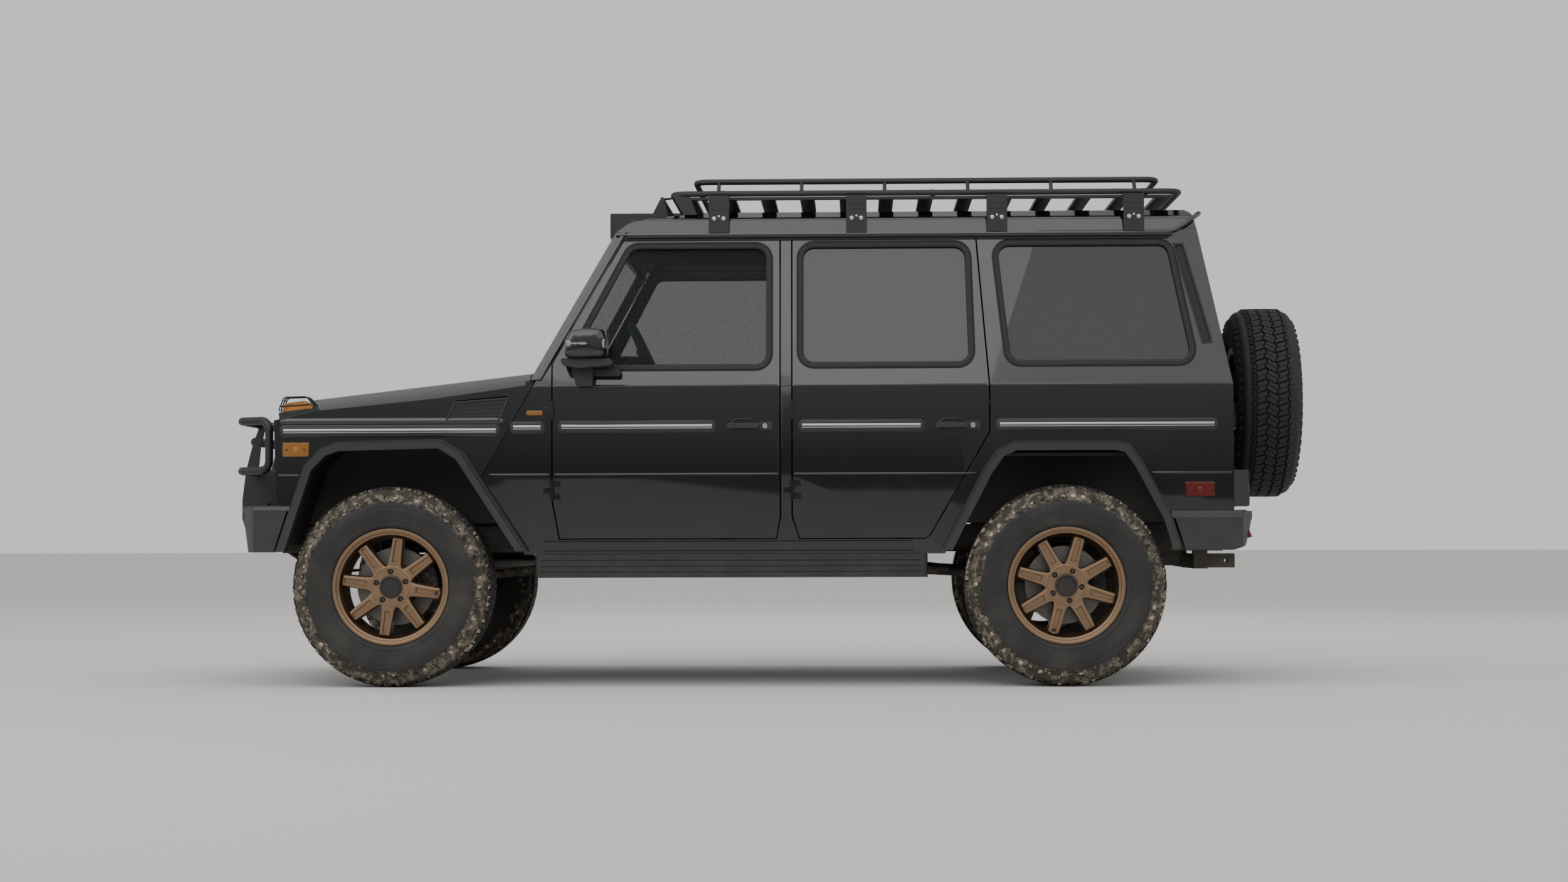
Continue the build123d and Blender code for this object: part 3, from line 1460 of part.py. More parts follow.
with BuildPart() as rear_bench:
    cushion = [(behind_front(1980), floor_z + sheet), (behind_front(1980), 1080), (behind_front(2440), 1060),
               (behind_front(2440), floor_z + sheet)]
    add(prism_across(cushion, -560, 560))
    backrest = [(behind_front(2400), 1060), (behind_front(2480), 1600), (behind_front(2570), 1600),
                (behind_front(2530), 1060)]
    add(prism_across(backrest, -560, 560))
steer_x = behind_front(1056)
steer_y = 380
steer_z = 1404
column_slope = 24.8
steer_r = 190
steer_rim_r = 15
shaft_r = 11
steer_axis = (-cos(radians(column_slope)), 0, sin(radians(column_slope)))
steer_plane = Plane(origin=(steer_x, steer_y, steer_z), x_dir=(0, 1, 0), z_dir=steer_axis)
dash_half = floor_half - 14
dash_profile = [
    (firewall_x - firewall_thick, 1040),
    (firewall_x - firewall_thick, 1280),
    (behind_front(655), 1284),
    (behind_front(680), 1322),
    (behind_front(860), 1336),
    (behind_front(905), 1290),
    (behind_front(925), 1180),
    (behind_front(840), 1040),
]
console_half = 88
console_profile = [
    (behind_front(780), 1045),
    (behind_front(880), 1045),
    (behind_front(930), 1000),
    (behind_front(965), 930),
    (behind_front(1560), 930),
    (behind_front(1560), floor_z + sheet + seat),
    (tunnel_x - seat, floor_z + sheet + seat),
    (tunnel_x - seat, tunnel_z + seat),
    (behind_front(780), tunnel_z + seat),
]
binnacle_profile = [
    (behind_front(740), 1310),
    (behind_front(770), 1392),
    (behind_front(880), 1384),
    (behind_front(900), 1290),
]
with BuildPart() as dashboard:
    add(prism_across(dash_profile, -dash_half, dash_half))
    add(prism_across(console_profile, -console_half, console_half))
    add(prism_across(binnacle_profile, steer_y - 190, steer_y + 190, radius=8))
    add(bar([(behind_front(1190), 0, 920), (behind_front(1180), 0, 1040)], 14))
    with BuildSketch(steer_plane.offset(-60)):
        Circle(38)
    extrude(amount=-180)
    with BuildSketch(steer_plane):
        Circle(shaft_r + running)
    extrude(amount=-200, mode=Mode.SUBTRACT)
with BuildPart() as steering_wheel:
    with BuildSketch(Plane(origin=steer_plane.origin, x_dir=steer_plane.x_dir, z_dir=steer_plane.y_dir)):
        with Locations((steer_r - steer_rim_r, 0)):
            Circle(steer_rim_r)
    revolve(axis=Axis(origin=steer_plane.origin, direction=steer_plane.z_dir))
    with BuildSketch(steer_plane.offset(-13)):
        Rectangle(2 * (steer_r - steer_rim_r), 40)
        with Locations((0, -(steer_r - steer_rim_r) / 2)):
            Rectangle(44, steer_r - steer_rim_r)
    extrude(amount=12)
    with BuildSketch(steer_plane.offset(-30)):
        RectangleRounded(150, 124, 40)
    extrude(amount=46)
    with BuildSketch(steer_plane.offset(-10)):
        Circle(30)
    extrude(amount=-40)
    with BuildSketch(steer_plane):
        Circle(shaft_r)
    extrude(amount=-190)

# Roof rack, light bar and awning case
rack_y = 700
rack_z = 2104
rack_upper_y = 650
rack_upper_z = 2161
rack_front_x = behind_front(1186)
rack_rear_x = behind_rear(506)
rack_upper_front_x = behind_front(1283)
rack_upper_rear_x = behind_rear(414)
rack_bend = 60
tube_r = 12.5
deck_z = 2078
deck_thick = 14
deck_edge_thick = 12
deck_flat_half = 628
slat_wide = 62
slat_count = 13
post_count = 6
bracket_wide = 88
bracket_thick = 12
bracket_stations = [behind_front(1387), behind_front(1974), behind_rear(-278), behind_rear(303)]


def rack_loop(front_x, rear_x, y, z):
    """Half of a tube loop with rounded corners; its mirror closes it."""
    path = [(rear_x, 0, z), (rear_x, y, z), (front_x, y, z), (front_x, 0, z)]
    return bar(path, tube_r, rack_bend)


bracket_top = deck_z + deck_edge_thick
bracket_base = gutter_top + seat
post_pitch = (rack_upper_front_x - rack_upper_rear_x - 200) / (post_count - 1)
slat_pitch = (rack_front_x - rack_rear_x - 140) / (slat_count - 1)
with BuildPart() as roof_rack:
    add(rack_loop(rack_front_x, rack_rear_x, rack_y, rack_z))
    add(rack_loop(rack_upper_front_x, rack_upper_rear_x, rack_upper_y, rack_upper_z))
    for i in range(post_count):
        x = rack_upper_rear_x + 100 + i * post_pitch
        add(bar([(x, rack_y, rack_z), (x, rack_upper_y, rack_upper_z)], 8))
    with BuildSketch(Plane.XZ.offset(-rack_y - 4)):
        with BuildLine():
            Polyline((behind_front(1180), rack_z), (behind_front(1256), rack_z), (behind_front(1290), 2014),
                     (behind_front(1232), 2014), close=True)
        make_face()
    extrude(amount=8)
    for x in bracket_stations:
        with BuildSketch(Plane.XZ.offset(-gutter_half - 2 - bracket_thick)):
            with Locations((x, (bracket_base + bracket_top) / 2)):
                Rectangle(bracket_wide, bracket_top - bracket_base)
        extrude(amount=bracket_thick)
        with BuildSketch(Plane.XY.offset(deck_z)):
            with Locations((x, (rack_y - 20 + gutter_half + 4) / 2)):
                Rectangle(bracket_wide, gutter_half + 4 - rack_y + 20)
        extrude(amount=deck_edge_thick)
    for half_wide, thick in ((rack_y, deck_edge_thick), (deck_flat_half, deck_thick)):
        with BuildSketch(Plane.XY.offset(deck_z)):
            for i in range(slat_count):
                with Locations((rack_rear_x + 70 + i * slat_pitch, half_wide / 2)):
                    Rectangle(slat_wide, half_wide)
        extrude(amount=thick)
    with BuildSketch(Plane.XY.offset(deck_z)):
        with Locations(((rack_front_x + rack_rear_x) / 2, rack_y - 15)):
            Rectangle(rack_front_x - rack_rear_x - 60, 30)
    extrude(amount=deck_edge_thick)
    mirror(about=Plane.XZ)
with BuildPart() as awning_case:
    case_in = -gutter_half - 14 - seat
    case = [(case_in, 2073), (case_in - 105, 2073), (case_in - 120, 2092), (case_in - 120, 2194),
            (case_in, 2194)]
    add(prism_along(case, behind_front(3000), behind_front(782)))

# Door mirrors
mirror_outline = [
    (behind_front(747), 1398),
    (behind_front(752), 1462),
    (behind_front(778), 1500),
    (behind_front(838), 1511),
    (behind_front(912), 1506),
    (behind_front(926), 1470),
    (behind_front(924), 1384),
    (behind_front(800), 1380),
]
mirror_foot = [
    (behind_front(724), 1384),
    (behind_front(940), 1384),
    (behind_front(956), 1352),
    (behind_front(800), 1340),
    (behind_front(742), 1352),
]
mirror_out = 1010
with BuildPart() as mirror_left:
    add(prism_across(mirror_outline, body_half + 36, mirror_out, radius=6))
    fillet(mirror_left.edges().group_by(Axis.Y)[-1], 18)
    add(prism_across(mirror_foot, body_half + 40, mirror_out - 40, radius=6))
    stalk = [(behind_front(766), 1350), (behind_front(862), 1350), (behind_front(858), 1268),
             (behind_front(790), 1266)]
    add(prism_across(stalk, body_half + seat, body_half + 70, radius=6))
    arm = [(behind_front(850), 1346), (behind_front(976), 1342), (behind_front(974), 1312),
           (behind_front(850), 1312)]
    add(prism_across(arm, body_half + seat, body_half + 44, radius=6))
with BuildPart() as mirror_right:
    mirror(mirror_left.part, about=Plane.XZ)

# Lamps on the fenders, sides and back
tail_low, tail_high = 755, 909
with BuildPart() as signal_lamps:
    turn_line = [(-500, 1136), (-503, 1190), (-478, 1240), (-392, 1240), (-348, 1208), (-345, 1171)]
    turn_outline = [(behind_front(distance), z + seat) for distance, z in turn_line]
    add(prism_across(turn_outline, 655, 745))
    for low_x, high_x, low_z, high_z in (
        (behind_front(-356), behind_front(-469), 978, 1038),
        (behind_front(640), behind_front(571), 1148, 1172),
        (behind_rear(627), behind_rear(506), 798, 859),
    ):
        marker = [(low_x, low_z), (high_x, low_z), (high_x, high_z), (low_x, high_z)]
        add(prism_across(marker, body_half, body_half + 9))
    tail = [(behind_rear(776), tail_low), (rear_face_x, tail_low), (rear_face_x, tail_high),
            (behind_rear(776), tail_high)]
    add(prism_across(tail, 662, body_half + 4))
    mirror(about=Plane.XZ)

deflector_half = 600
deflector_foot = [(1077, 2003), (1160, 2012), (1150, 2060), (1139, 2104), (1129, 2104)]
with BuildPart() as wind_deflector:
    gusset = [(behind_front(distance), z) for distance, z in deflector_foot]
    sheet_line = [gusset[0], gusset[4], gusset[3], (gusset[0][0] - 9, gusset[0][1])]
    add(prism_across(sheet_line, -deflector_half, deflector_half))
    for side in (1, -1):
        add(prism_across(gusset, *sorted((side * deflector_half, side * (deflector_half - 6)))))
        add(bar([(behind_front(1136), side * (deflector_half - 30), 2098),
                 (rack_front_x + tube_r + seat, side * (deflector_half - 30), 2102)], 5))

save(signal_lamps, "signal_lamps")
save(wind_deflector, "wind_deflector")
with BuildPart() as floor_pan:
    add(floor_sheet.part)
    add(firewall.part)
save(floor_pan, "floor_pan")
save(fenders, "fenders")
save(hood, "hood")
save(front_panel, "front_panel")
save(headlamps, "headlamps")
save(flares, "flares")
save(ladder_frame, "ladder_frame")
save(front_axle, "front_axle")
save(rear_axle, "rear_axle")
save(knuckle_left, "knuckle_left")
save(knuckle_right, "knuckle_right")
save(tie_rod, "tie_rod")
save(springs, "springs")
save(drivetrain, "drivetrain")
save(fuel_tank, "fuel_tank")
save(exhaust, "exhaust")
save(running_boards, "running_boards")
save(front_bumper, "front_bumper")
save(rear_bumper, "rear_bumper")
save(bull_bar, "bull_bar")
save(tow_hitch, "tow_hitch")
save(front_seats, "front_seats")
save(rear_bench, "rear_bench")
save(dashboard, "dashboard")
save(steering_wheel, "steering_wheel")
save(roof_rack, "roof_rack")
save(awning_case, "awning_case")
save(mirror_left, "mirror_left")
save(mirror_right, "mirror_right")
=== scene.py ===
import json
import math

import bmesh
import bpy
import numpy as np
from mathutils import Matrix, Vector


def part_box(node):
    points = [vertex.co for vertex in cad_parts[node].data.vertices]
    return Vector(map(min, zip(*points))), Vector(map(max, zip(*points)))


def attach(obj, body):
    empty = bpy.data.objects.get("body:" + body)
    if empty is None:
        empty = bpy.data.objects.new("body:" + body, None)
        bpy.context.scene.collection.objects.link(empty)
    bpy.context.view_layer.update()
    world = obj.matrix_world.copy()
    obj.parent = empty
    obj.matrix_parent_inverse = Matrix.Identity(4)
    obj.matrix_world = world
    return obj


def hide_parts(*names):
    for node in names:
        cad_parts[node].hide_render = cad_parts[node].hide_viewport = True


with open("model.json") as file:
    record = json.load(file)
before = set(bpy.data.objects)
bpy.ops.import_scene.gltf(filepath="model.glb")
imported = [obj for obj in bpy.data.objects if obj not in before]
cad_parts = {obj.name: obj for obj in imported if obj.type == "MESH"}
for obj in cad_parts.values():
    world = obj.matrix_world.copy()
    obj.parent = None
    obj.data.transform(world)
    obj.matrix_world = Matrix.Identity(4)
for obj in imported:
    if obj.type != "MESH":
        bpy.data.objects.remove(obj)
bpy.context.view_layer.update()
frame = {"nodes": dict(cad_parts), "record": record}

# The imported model: x runs forward, y to the left and z up from the ground, in metres
NODES = frame["nodes"]
RECORD = frame["record"]
BODY_OF = {node: body for body, nodes in RECORD["behaviour"]["bodies"].items() for node in nodes}
SLOT_OF = {row["node"]: row["material_slot"] for row in RECORD["subparts"]}
SIDES = {"left": 1, "right": -1}
TYRES = {node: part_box(node) for node in NODES if node.startswith("tyre_") or node == "spare_tyre"}
HUBS = {node: (low + high) / 2 for node, (low, high) in TYRES.items()}
FRONT_X = HUBS["tyre_front_left"].x
BODY_HALF = 0.820
BELT_Z, GUTTER_Z, GUTTER_HALF = 1.270, 1.921, 0.745
LEAN = (BODY_HALF - GUTTER_HALF) / (GUTTER_Z - BELT_Z)


def behind(distance):
    """x of a point this far behind the front axle."""
    return FRONT_X - distance


def side_y(z):
    """The body side's half width at a height: upright to the belt, leaning in above it."""
    return BODY_HALF - max(0.0, z - BELT_Z) * LEAN


def set_back(rows):
    """(x, z) points for rows of distance behind the front axle and height."""
    return [(behind(distance), z) for distance, z in rows]


# Shapes: a shape is an array of points and a list of faces

# for each axis: where a section's two numbers go, and the distance along the axis
ORDER = {"y": (0, 2, 1), "x": (1, 2, 0), "z": (0, 1, 2)}


def grid(points, wrap_rows=False, wrap_columns=False):
    """A surface over an array of points (row, column): each point joins its next row and column."""
    rows, columns = points.shape[:2]
    index = np.arange(rows * columns).reshape(rows, columns)
    if wrap_rows:
        index = np.vstack([index, index[:1]])
    if wrap_columns:
        index = np.hstack([index, index[:, :1]])
    quads = np.stack([index[:-1, :-1], index[:-1, 1:], index[1:, 1:], index[1:, :-1]], -1)
    return points.reshape(-1, 3), quads.reshape(-1, 4).tolist()


def capped(rings):
    """A surface through a stack of closed rings, with a flat face on the first and the last ring."""
    rings = np.asarray(rings, float)
    points, faces = grid(rings, wrap_columns=True)
    count, total = rings.shape[1], len(points)
    return points, faces + [list(range(count)), list(range(total - 1, total - count - 1, -1))]


def joined(*shapes):
    """Several shapes as one, each face's numbers raised by the points before it."""
    starts = np.cumsum([0] + [len(points) for points, _ in shapes])
    faces = [[i + start for i in face] for (_, some), start in zip(shapes, starts) for face in some]
    return np.vstack([points for points, _ in shapes]), faces


def mirrored(shape):
    """The shape on the car's other side: y changes sign and each face turns round."""
    points, faces = shape
    return points * (1, -1, 1), [face[::-1] for face in faces]


def both_sides(shape):
    """The shape together with its mirror image."""
    return joined(shape, mirrored(shape))


def moved(shape, offset):
    """The shape with one offset added to each point."""
    return shape[0] + np.asarray(offset, float), shape[1]


def turned(shape, axis, degrees, centre=(0, 0, 0)):
    """The shape turned about an axis through a centre."""
    turn = np.array(Matrix.Rotation(math.radians(degrees), 3, axis))
    centre = np.asarray(centre, float)
    return (shape[0] - centre) @ turn.T + centre, shape[1]


def rounded(outline, radius, steps=4):
    """A closed outline whose corners are arcs: each starts radius times tan(half turn) before its corner."""
    outline = np.asarray(outline, float)
    count = len(outline)
    radii = np.broadcast_to(radius, count)
    points = []
    for i in range(count):
        corner = outline[i]
        back = outline[i - 1] - corner
        ahead = outline[(i + 1) % count] - corner
        back_long, ahead_long = np.linalg.norm(back), np.linalg.norm(ahead)
        back, ahead = back / back_long, ahead / ahead_long
        half = math.acos(np.clip(back @ ahead, -1, 1)) / 2
        if radii[i] <= 0 or half > 1.55:
            points.append(corner)
            continue
        reach = min(radii[i] / math.tan(half), 0.49 * back_long, 0.49 * ahead_long)
        real = reach * math.tan(half)
        middle = corner + (back + ahead) / np.linalg.norm(back + ahead) * real / math.sin(half)
        start, end = corner + back * reach - middle, corner + ahead * reach - middle
        angle = math.acos(np.clip(start @ end / real**2, -1, 1))
        for step in range(steps + 1):
            share = step / steps
            weights = math.sin((1 - share) * angle), math.sin(share * angle)
            points.append(middle + (start * weights[0] + end * weights[1]) / math.sin(angle))
    return np.array(points)


def rectangle(left, low, right, high):
    """The four corners of an upright rectangle."""
    return [(left, low), (right, low), (right, high), (left, high)]


def at_y(outline, y):
    """An outline of (x, z) as points at one y."""
    return np.stack([outline[:, 0], np.full(len(outline), y), outline[:, 1]], -1)


def prism(outline, low, high, across="y"):
    """A closed outline carried from low to high. Across y it is (x, z), across x (y, z), across z (x, y)."""
    first, second, third = ORDER[across]
    rings = np.zeros((2, len(outline), 3))
    rings[..., [first, second]] = outline
    rings[..., third] = [[low], [high]]
    return capped(rings)


def tube(path, radius, sides=12, closed=False):
    """A round section carried along a path: each ring lies across the mean of its two runs."""
    path = np.asarray(path, float)
    ahead = np.roll(path, -1, 0) - path
    ahead /= np.linalg.norm(ahead, axis=1)[:, None] + 1e-12
    if not closed:
        ahead[-1] = ahead[-2]
    along = ahead + np.roll(ahead, 1, 0)
    if not closed:
        along[0], along[-1] = ahead[0], ahead[-1]
    along /= np.linalg.norm(along, axis=1)[:, None]
    side = np.cross(along[0], (0, 0, 1) if abs(along[0][2]) < 0.9 else (1, 0, 0))
    sideways = []
    for direction in along:
        side = side - direction * (side @ direction)
        side /= np.linalg.norm(side)
        sideways.append(side)
    sideways = np.array(sideways)
    upward = np.cross(along, sideways)
    turn = np.arange(sides) * 2 * math.pi / sides
    ring = np.cos(turn)[None, :, None] * sideways[:, None] + np.sin(turn)[None, :, None] * upward[:, None]
    points, faces = grid(path[:, None] + ring * np.broadcast_to(radius, len(path))[:, None, None],
                         wrap_rows=closed, wrap_columns=True)
    if not closed:
        last = len(points) - sides
        faces += [list(range(sides))[::-1], list(range(last, last + sides))]
    return points, faces


def lathe(profile, centre, axis="y", steps=48, closed=False):
    """A profile of (radius, distance along the axis) turned about an axis through a centre."""
    profile = np.asarray(profile, float)
    turn = np.arange(steps) * 2 * math.pi / steps
    first, second, third = ORDER[axis]
    points = np.zeros((len(profile), steps, 3))
    points[..., first] = profile[:, :1] * np.cos(turn)
    points[..., second] = profile[:, :1] * np.sin(turn)
    points[..., third] = profile[:, 1:]
    return grid(points + np.asarray(centre, float), wrap_rows=closed, wrap_columns=True)


def facing_back(profile, centre, steps=48, closed=False):
    """A profile turned about an axis along x, its distances counted backward."""
    x, y, z = centre
    points, faces = lathe(profile, (-x, y, z), "x", steps, closed)
    return points * (-1, 1, 1), faces


def swept(section, stations):
    """A section of (y, z) points at stations along x, each given as (x, y factor, z factor, y, z)."""
    return capped([[(x, y + across * wide, z + up * tall) for across, up in section]
                   for x, wide, tall, y, z in stations])


def straight(section, front, rear, y, z):
    """A section carried unchanged from one distance behind the front axle to another."""
    return swept(section, [(behind(distance), 1, 1, y, z) for distance in (front, rear)])


def grown(outline, distance):
    """A closed outline with each edge moved outward: a corner moves to where its two moved edges meet."""
    outline = np.asarray(outline, float)
    ahead = np.roll(outline, -1, 0) - outline
    ahead /= np.linalg.norm(ahead, axis=1)[:, None]
    area = np.sum(outline[:, 0] * np.roll(outline[:, 1], -1) - np.roll(outline[:, 0], -1) * outline[:, 1])
    out = np.stack([ahead[:, 1], -ahead[:, 0]], -1) * math.copysign(1, area)
    back = np.roll(out, 1, 0)
    return outline + distance * (out + back) / (1 + np.sum(out * back, 1))[:, None]


def framed(outline, radius, profile, lift, steps=6):
    """A band round an outline of (x, z): its profile of (distance outward, height) stands on the side."""
    rings = []
    for distance, height in profile:
        flat = rounded(grown(outline, distance), max(radius + distance, 0.001), steps)
        rings.append(at_y(flat, [lift(z) + height for z in flat[:, 1]]))
    return grid(np.array(rings), wrap_rows=True, wrap_columns=True)


def sector(profile, centre, start, end, steps=16):
    """A closed profile of (radius, distance along y) turned part of the way round, with flat ends."""
    profile = np.asarray(profile, float)
    turn = np.radians(np.linspace(start, end, steps))[:, None]
    points = np.zeros((steps, len(profile), 3))
    points[..., 0] = np.cos(turn) * profile[:, 0]
    points[..., 2] = np.sin(turn) * profile[:, 0]
    points[..., 1] = profile[:, 1]
    return capped(points + np.asarray(centre, float))


def circle(radius, steps=24, centre=(0, 0), start=0.0):
    """Points evenly spaced round a centre, the first at a start angle in degrees."""
    turn = np.arange(steps) * 2 * math.pi / steps + math.radians(start)
    return np.stack([centre[0] + radius * np.cos(turn), centre[1] + radius * np.sin(turn)], -1)


def block(centre, size, radius=0.0, across="y"):
    """A plate with rounded corners, as thick as its size across."""
    a, b, c = (centre[i] for i in ORDER[across])
    wide, tall, thick = (size[i] / 2 for i in ORDER[across])
    outline = rectangle(a - wide, b - tall, a + wide, b + tall)
    return prism(rounded(outline, radius, 4) if radius else outline, c - thick, c + thick, across)


def mesh_of(shape, name="shape", outward=True, **marks):
    """A shape as a mesh, its faces turned outward if asked. Marks are values per point for its material."""
    points, faces = shape
    mesh = bpy.data.meshes.new(name)
    mesh.from_pydata(np.asarray(points, float).tolist(), [], faces)
    for mark, values in marks.items():
        mesh.attributes.new(mark, "FLOAT", "POINT").data.foreach_set("value", np.asarray(values, np.float32))
    if outward:
        solid = bmesh.new()
        solid.from_mesh(mesh)
        bmesh.ops.recalc_face_normals(solid, faces=solid.faces)
        solid.to_mesh(mesh)
        solid.free()
    return mesh


def linked(name, data):
    """A new object in the scene."""
    item = bpy.data.objects.new(name, data)
    bpy.context.scene.collection.objects.link(item)
    return item


def taken(item):
    """The points and faces of an object as its modifiers leave it."""
    bpy.context.view_layer.update()
    mesh = bpy.data.meshes.new_from_object(item.evaluated_get(bpy.context.evaluated_depsgraph_get()))
    points = np.empty(len(mesh.vertices) * 3, np.float32)
    mesh.vertices.foreach_get("co", points)
    faces = [list(face.vertices) for face in mesh.polygons]
    bpy.data.meshes.remove(mesh)
    return points.reshape(-1, 3).astype(float), faces


def cut(shape, hole):
    """The shape with another taken out of it."""
    item, tool = (linked("cutting", mesh_of(part)) for part in (shape, hole))
    boolean = item.modifiers.new("cut", "BOOLEAN")
    boolean.object, boolean.solver = tool, "EXACT"
    result = taken(item)
    for used in (item, tool):
        bpy.data.meshes.remove(used.data)
    return result


def piece(name, shape, paint, body="root", edge=0.0, sharp=32, outward=True, replaces=(), slot=None, **marks):
    """A mesh piece that rides on a body."""
    return placed(name, mesh_of(shape, name, outward, **marks), paint, body, edge, sharp, replaces)


def placed(name, mesh, paint, body, edge, sharp, replaces):
    """Puts a mesh in the scene with smooth faces, creases by angle and an optional rounded edge."""
    mesh.shade_smooth()
    mesh.set_sharp_from_angle(angle=math.radians(sharp))
    mesh.materials.clear()
    mesh.materials.append(paint.material)
    item = linked(name, mesh)
    if edge:
        bevel = item.modifiers.new("edge", "BEVEL")
        bevel.width, bevel.segments = edge, 2
        bevel.limit_method, bevel.angle_limit = "ANGLE", math.radians(sharp)
        bevel.use_clamp_overlap = True
        item.modifiers.new("even", "WEIGHTED_NORMAL").keep_sharp = True
    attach(item, body)
    if replaces:
        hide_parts(*replaces)
    return item


def finished(node, paint, edge=0.0, sharp=32):
    """A merged copy of a CAD node with its flat faces whole and its edges eased, which stands for it."""
    mesh = NODES[node].data.copy()
    solid = bmesh.new()
    solid.from_mesh(mesh)
    bmesh.ops.remove_doubles(solid, verts=solid.verts, dist=2e-5)
    bmesh.ops.dissolve_limit(solid, angle_limit=math.radians(0.5), verts=solid.verts, edges=solid.edges)
    solid.to_mesh(mesh)
    solid.free()
    return placed(f"{node}_finish", mesh, paint, BODY_OF[node], edge, sharp, [node])


# Materials

class Field:
    """A socket of a material; arithmetic on it adds Math nodes."""

    def __init__(self, paint, socket):
        self.paint, self.socket = paint, socket

    def math(self, operation, *values):
        return self.paint.node("ShaderNodeMath", {"operation": operation}, *values)

    def __add__(self, other):
        return self.math("ADD", self, other)

    def __sub__(self, other):
        return self.math("SUBTRACT", self, other)

    def __rsub__(self, other):
        return self.math("SUBTRACT", other, self)

    def __mul__(self, other):
        return self.math("MULTIPLY", self, other)

    __radd__, __rmul__ = __add__, __mul__

    def rise(self, low, high):
        """0 below low, 1 above high, and a smooth step between them."""
        return self.paint.node("ShaderNodeMapRange", {"interpolation_type": "SMOOTHSTEP"}, self, low, high)


class Nodes:
    """A node tree: node() adds a node and gives back one of its outputs."""

    def __init__(self, tree):
        self.tree = tree

    def put(self, socket, value):
        if isinstance(value, Field):
            self.tree.links.new(value.socket, socket)
        elif isinstance(value, (tuple, list)) and socket.type == "RGBA":
            socket.default_value = (*value[:3], 1)
        else:
            socket.default_value = value

    def node(self, kind, settings=None, *values, out=0, **named):
        """Adds a node: its settings first, then its sockets in order, then those named or numbered."""
        node = self.tree.nodes.new(kind)
        for key, value in (settings or {}).items():
            setattr(node, key, value)
        for socket, value in zip(node.inputs, values):
            self.put(socket, value)
        for key, value in named.items():
            key = int(key[1:]) if key[0] == "i" and key[1:].isdigit() else key.replace("_", " ")
            self.put(node.inputs[key], value)
        return Field(self, node.outputs[out])

    def mix(self, first, second, share):
        """A colour between two, by a share."""
        return self.node("ShaderNodeMix", {"data_type": "RGBA"}, share, i6=first, i7=second, out=2)


class Paint(Nodes):
    """A material: fixed sockets are set by name, and node() adds what varies over the surface."""

    def __init__(self, name, **fixed):
        self.material = bpy.data.materials.new(name)
        self.material.use_nodes = True
        super().__init__(self.material.node_tree)
        self.set(**fixed)

    def set(self, **values):
        for key, value in values.items():
            self.put(self.tree.nodes["Principled BSDF"].inputs[key.replace("_", " ")], value)

    def place(self, axis=None):
        """Object coordinates, or one of them."""
        spot = self.node("ShaderNodeTexCoord", out=3)
        return spot if axis is None else self.node("ShaderNodeSeparateXYZ", {}, spot, out="xyz".index(axis))

    def mark(self, name):
        return self.node("ShaderNodeAttribute", {"attribute_name": name}, out=2)

    def noise(self, scale, detail=4.0, rough=0.55):
        return self.node("ShaderNodeTexNoise", {}, self.place(), Scale=scale, Detail=detail, Roughness=rough)

    def bump(self, height, distance, strength=1.0):
        self.set(Normal=self.node("ShaderNodeBump", {}, Strength=strength, Distance=distance, Height=height))


DUST = (0.30, 0.245, 0.18)
MUD = (0.54, 0.46, 0.35)
# the dark end of the mud's tone, also used as painted shade in the tyre grooves
MUD_DARK_AND_GROOVE_SHADE = (0.052, 0.043, 0.034)


def dusted(paint, colour, rough, amount, top=1.1, grain=9.0):
    """Road dust: thick near the ground, thinning to nothing at top, broken up by noise."""
    low = 1 - paint.place("z").rise(0.35, top)
    cloud = paint.noise(grain, 6.0, 0.6).rise(0.38, 0.72)
    share = low * (0.35 + cloud * 0.65) * amount
    paint.set(Base_Color=paint.mix(colour, DUST, share), Roughness=rough + share * (0.85 - rough))
    return paint


def gloss_black():
    """Clear-coated black with faint ripple and a breath of dust low down."""
    paint = Paint("gloss_black", Specular_IOR_Level=0.35, Coat_Weight=1.0, Coat_Roughness=0.025,
                  Coat_IOR=1.55)
    dusted(paint, (0.0045, 0.0046, 0.0050), 0.14, 0.06, top=0.95, grain=5.0)
    paint.bump(paint.noise(4.0, 1.0), 0.0006, 0.25)
    return paint


def moulded_black(name="moulded_black", colour=(0.019, 0.020, 0.021), rough=0.48, dust=0.16, top=0.95):
    """Grained exterior plastic, greyed by weather."""
    paint = Paint(name, IOR=1.47)
    dusted(paint, colour, rough, dust, top=top)
    paint.bump(paint.noise(1100.0, 2.0), 0.0004, 0.35)
    return paint


def grained(name, colour, rough, noise, depth, strength, **fixed):
    """One colour all over under a fine grain, whose noise is given as scale, detail and roughness."""
    paint = Paint(name, Base_Color=colour, Roughness=rough, **fixed)
    paint.bump(paint.noise(*noise), depth, strength)
    return paint


def tyre_rubber(name, wet=1.0):
    """Rubber whose tread and shoulders hold sandy mud, by the marks for depth and distance across; painted
    shade in the grooves.
    """
    paint = Paint(name, Specular_IOR_Level=0.35)
    across, deep = paint.mark("across"), paint.mark("deep")
    cake = paint.noise(24.0, 9.0, 0.68)
    crumb = paint.noise(80.0, 6.0, 0.72)
    band = 0.45 + across.rise(0.45, 0.80) * 0.55
    patch = paint.noise(4.5, 3.0, 0.5)
    want = cake * 0.8 + crumb * 0.30 + patch * 0.5 + deep * 0.10 + band * 0.30
    mud = want.rise(1.00, 1.08) * (1 - across.rise(1.30, 1.47)) * wet
    film = paint.noise(7.0, 6.0).rise(0.35, 0.75) * 0.08 * wet
    rubber = paint.mix((0.021, 0.021, 0.0215), DUST, film)
    # pale clumps of mud, thinned by the depth mark so that the mud in the grooves is darker: painted shade
    clump_less_groove_shade = paint.noise(30.0, 9.0, 0.74).rise(0.47, 0.575) * (1 - deep * 0.75)
    paint.set(Base_Color=paint.mix(rubber, paint.mix(MUD_DARK_AND_GROOVE_SHADE, MUD, clump_less_groove_shade), mud), Roughness=0.70 + mud * 0.2)
    paint.bump(mud * 0.6 + crumb * mud * 0.9 + crumb * 0.05, 0.005, 0.9)
    return paint


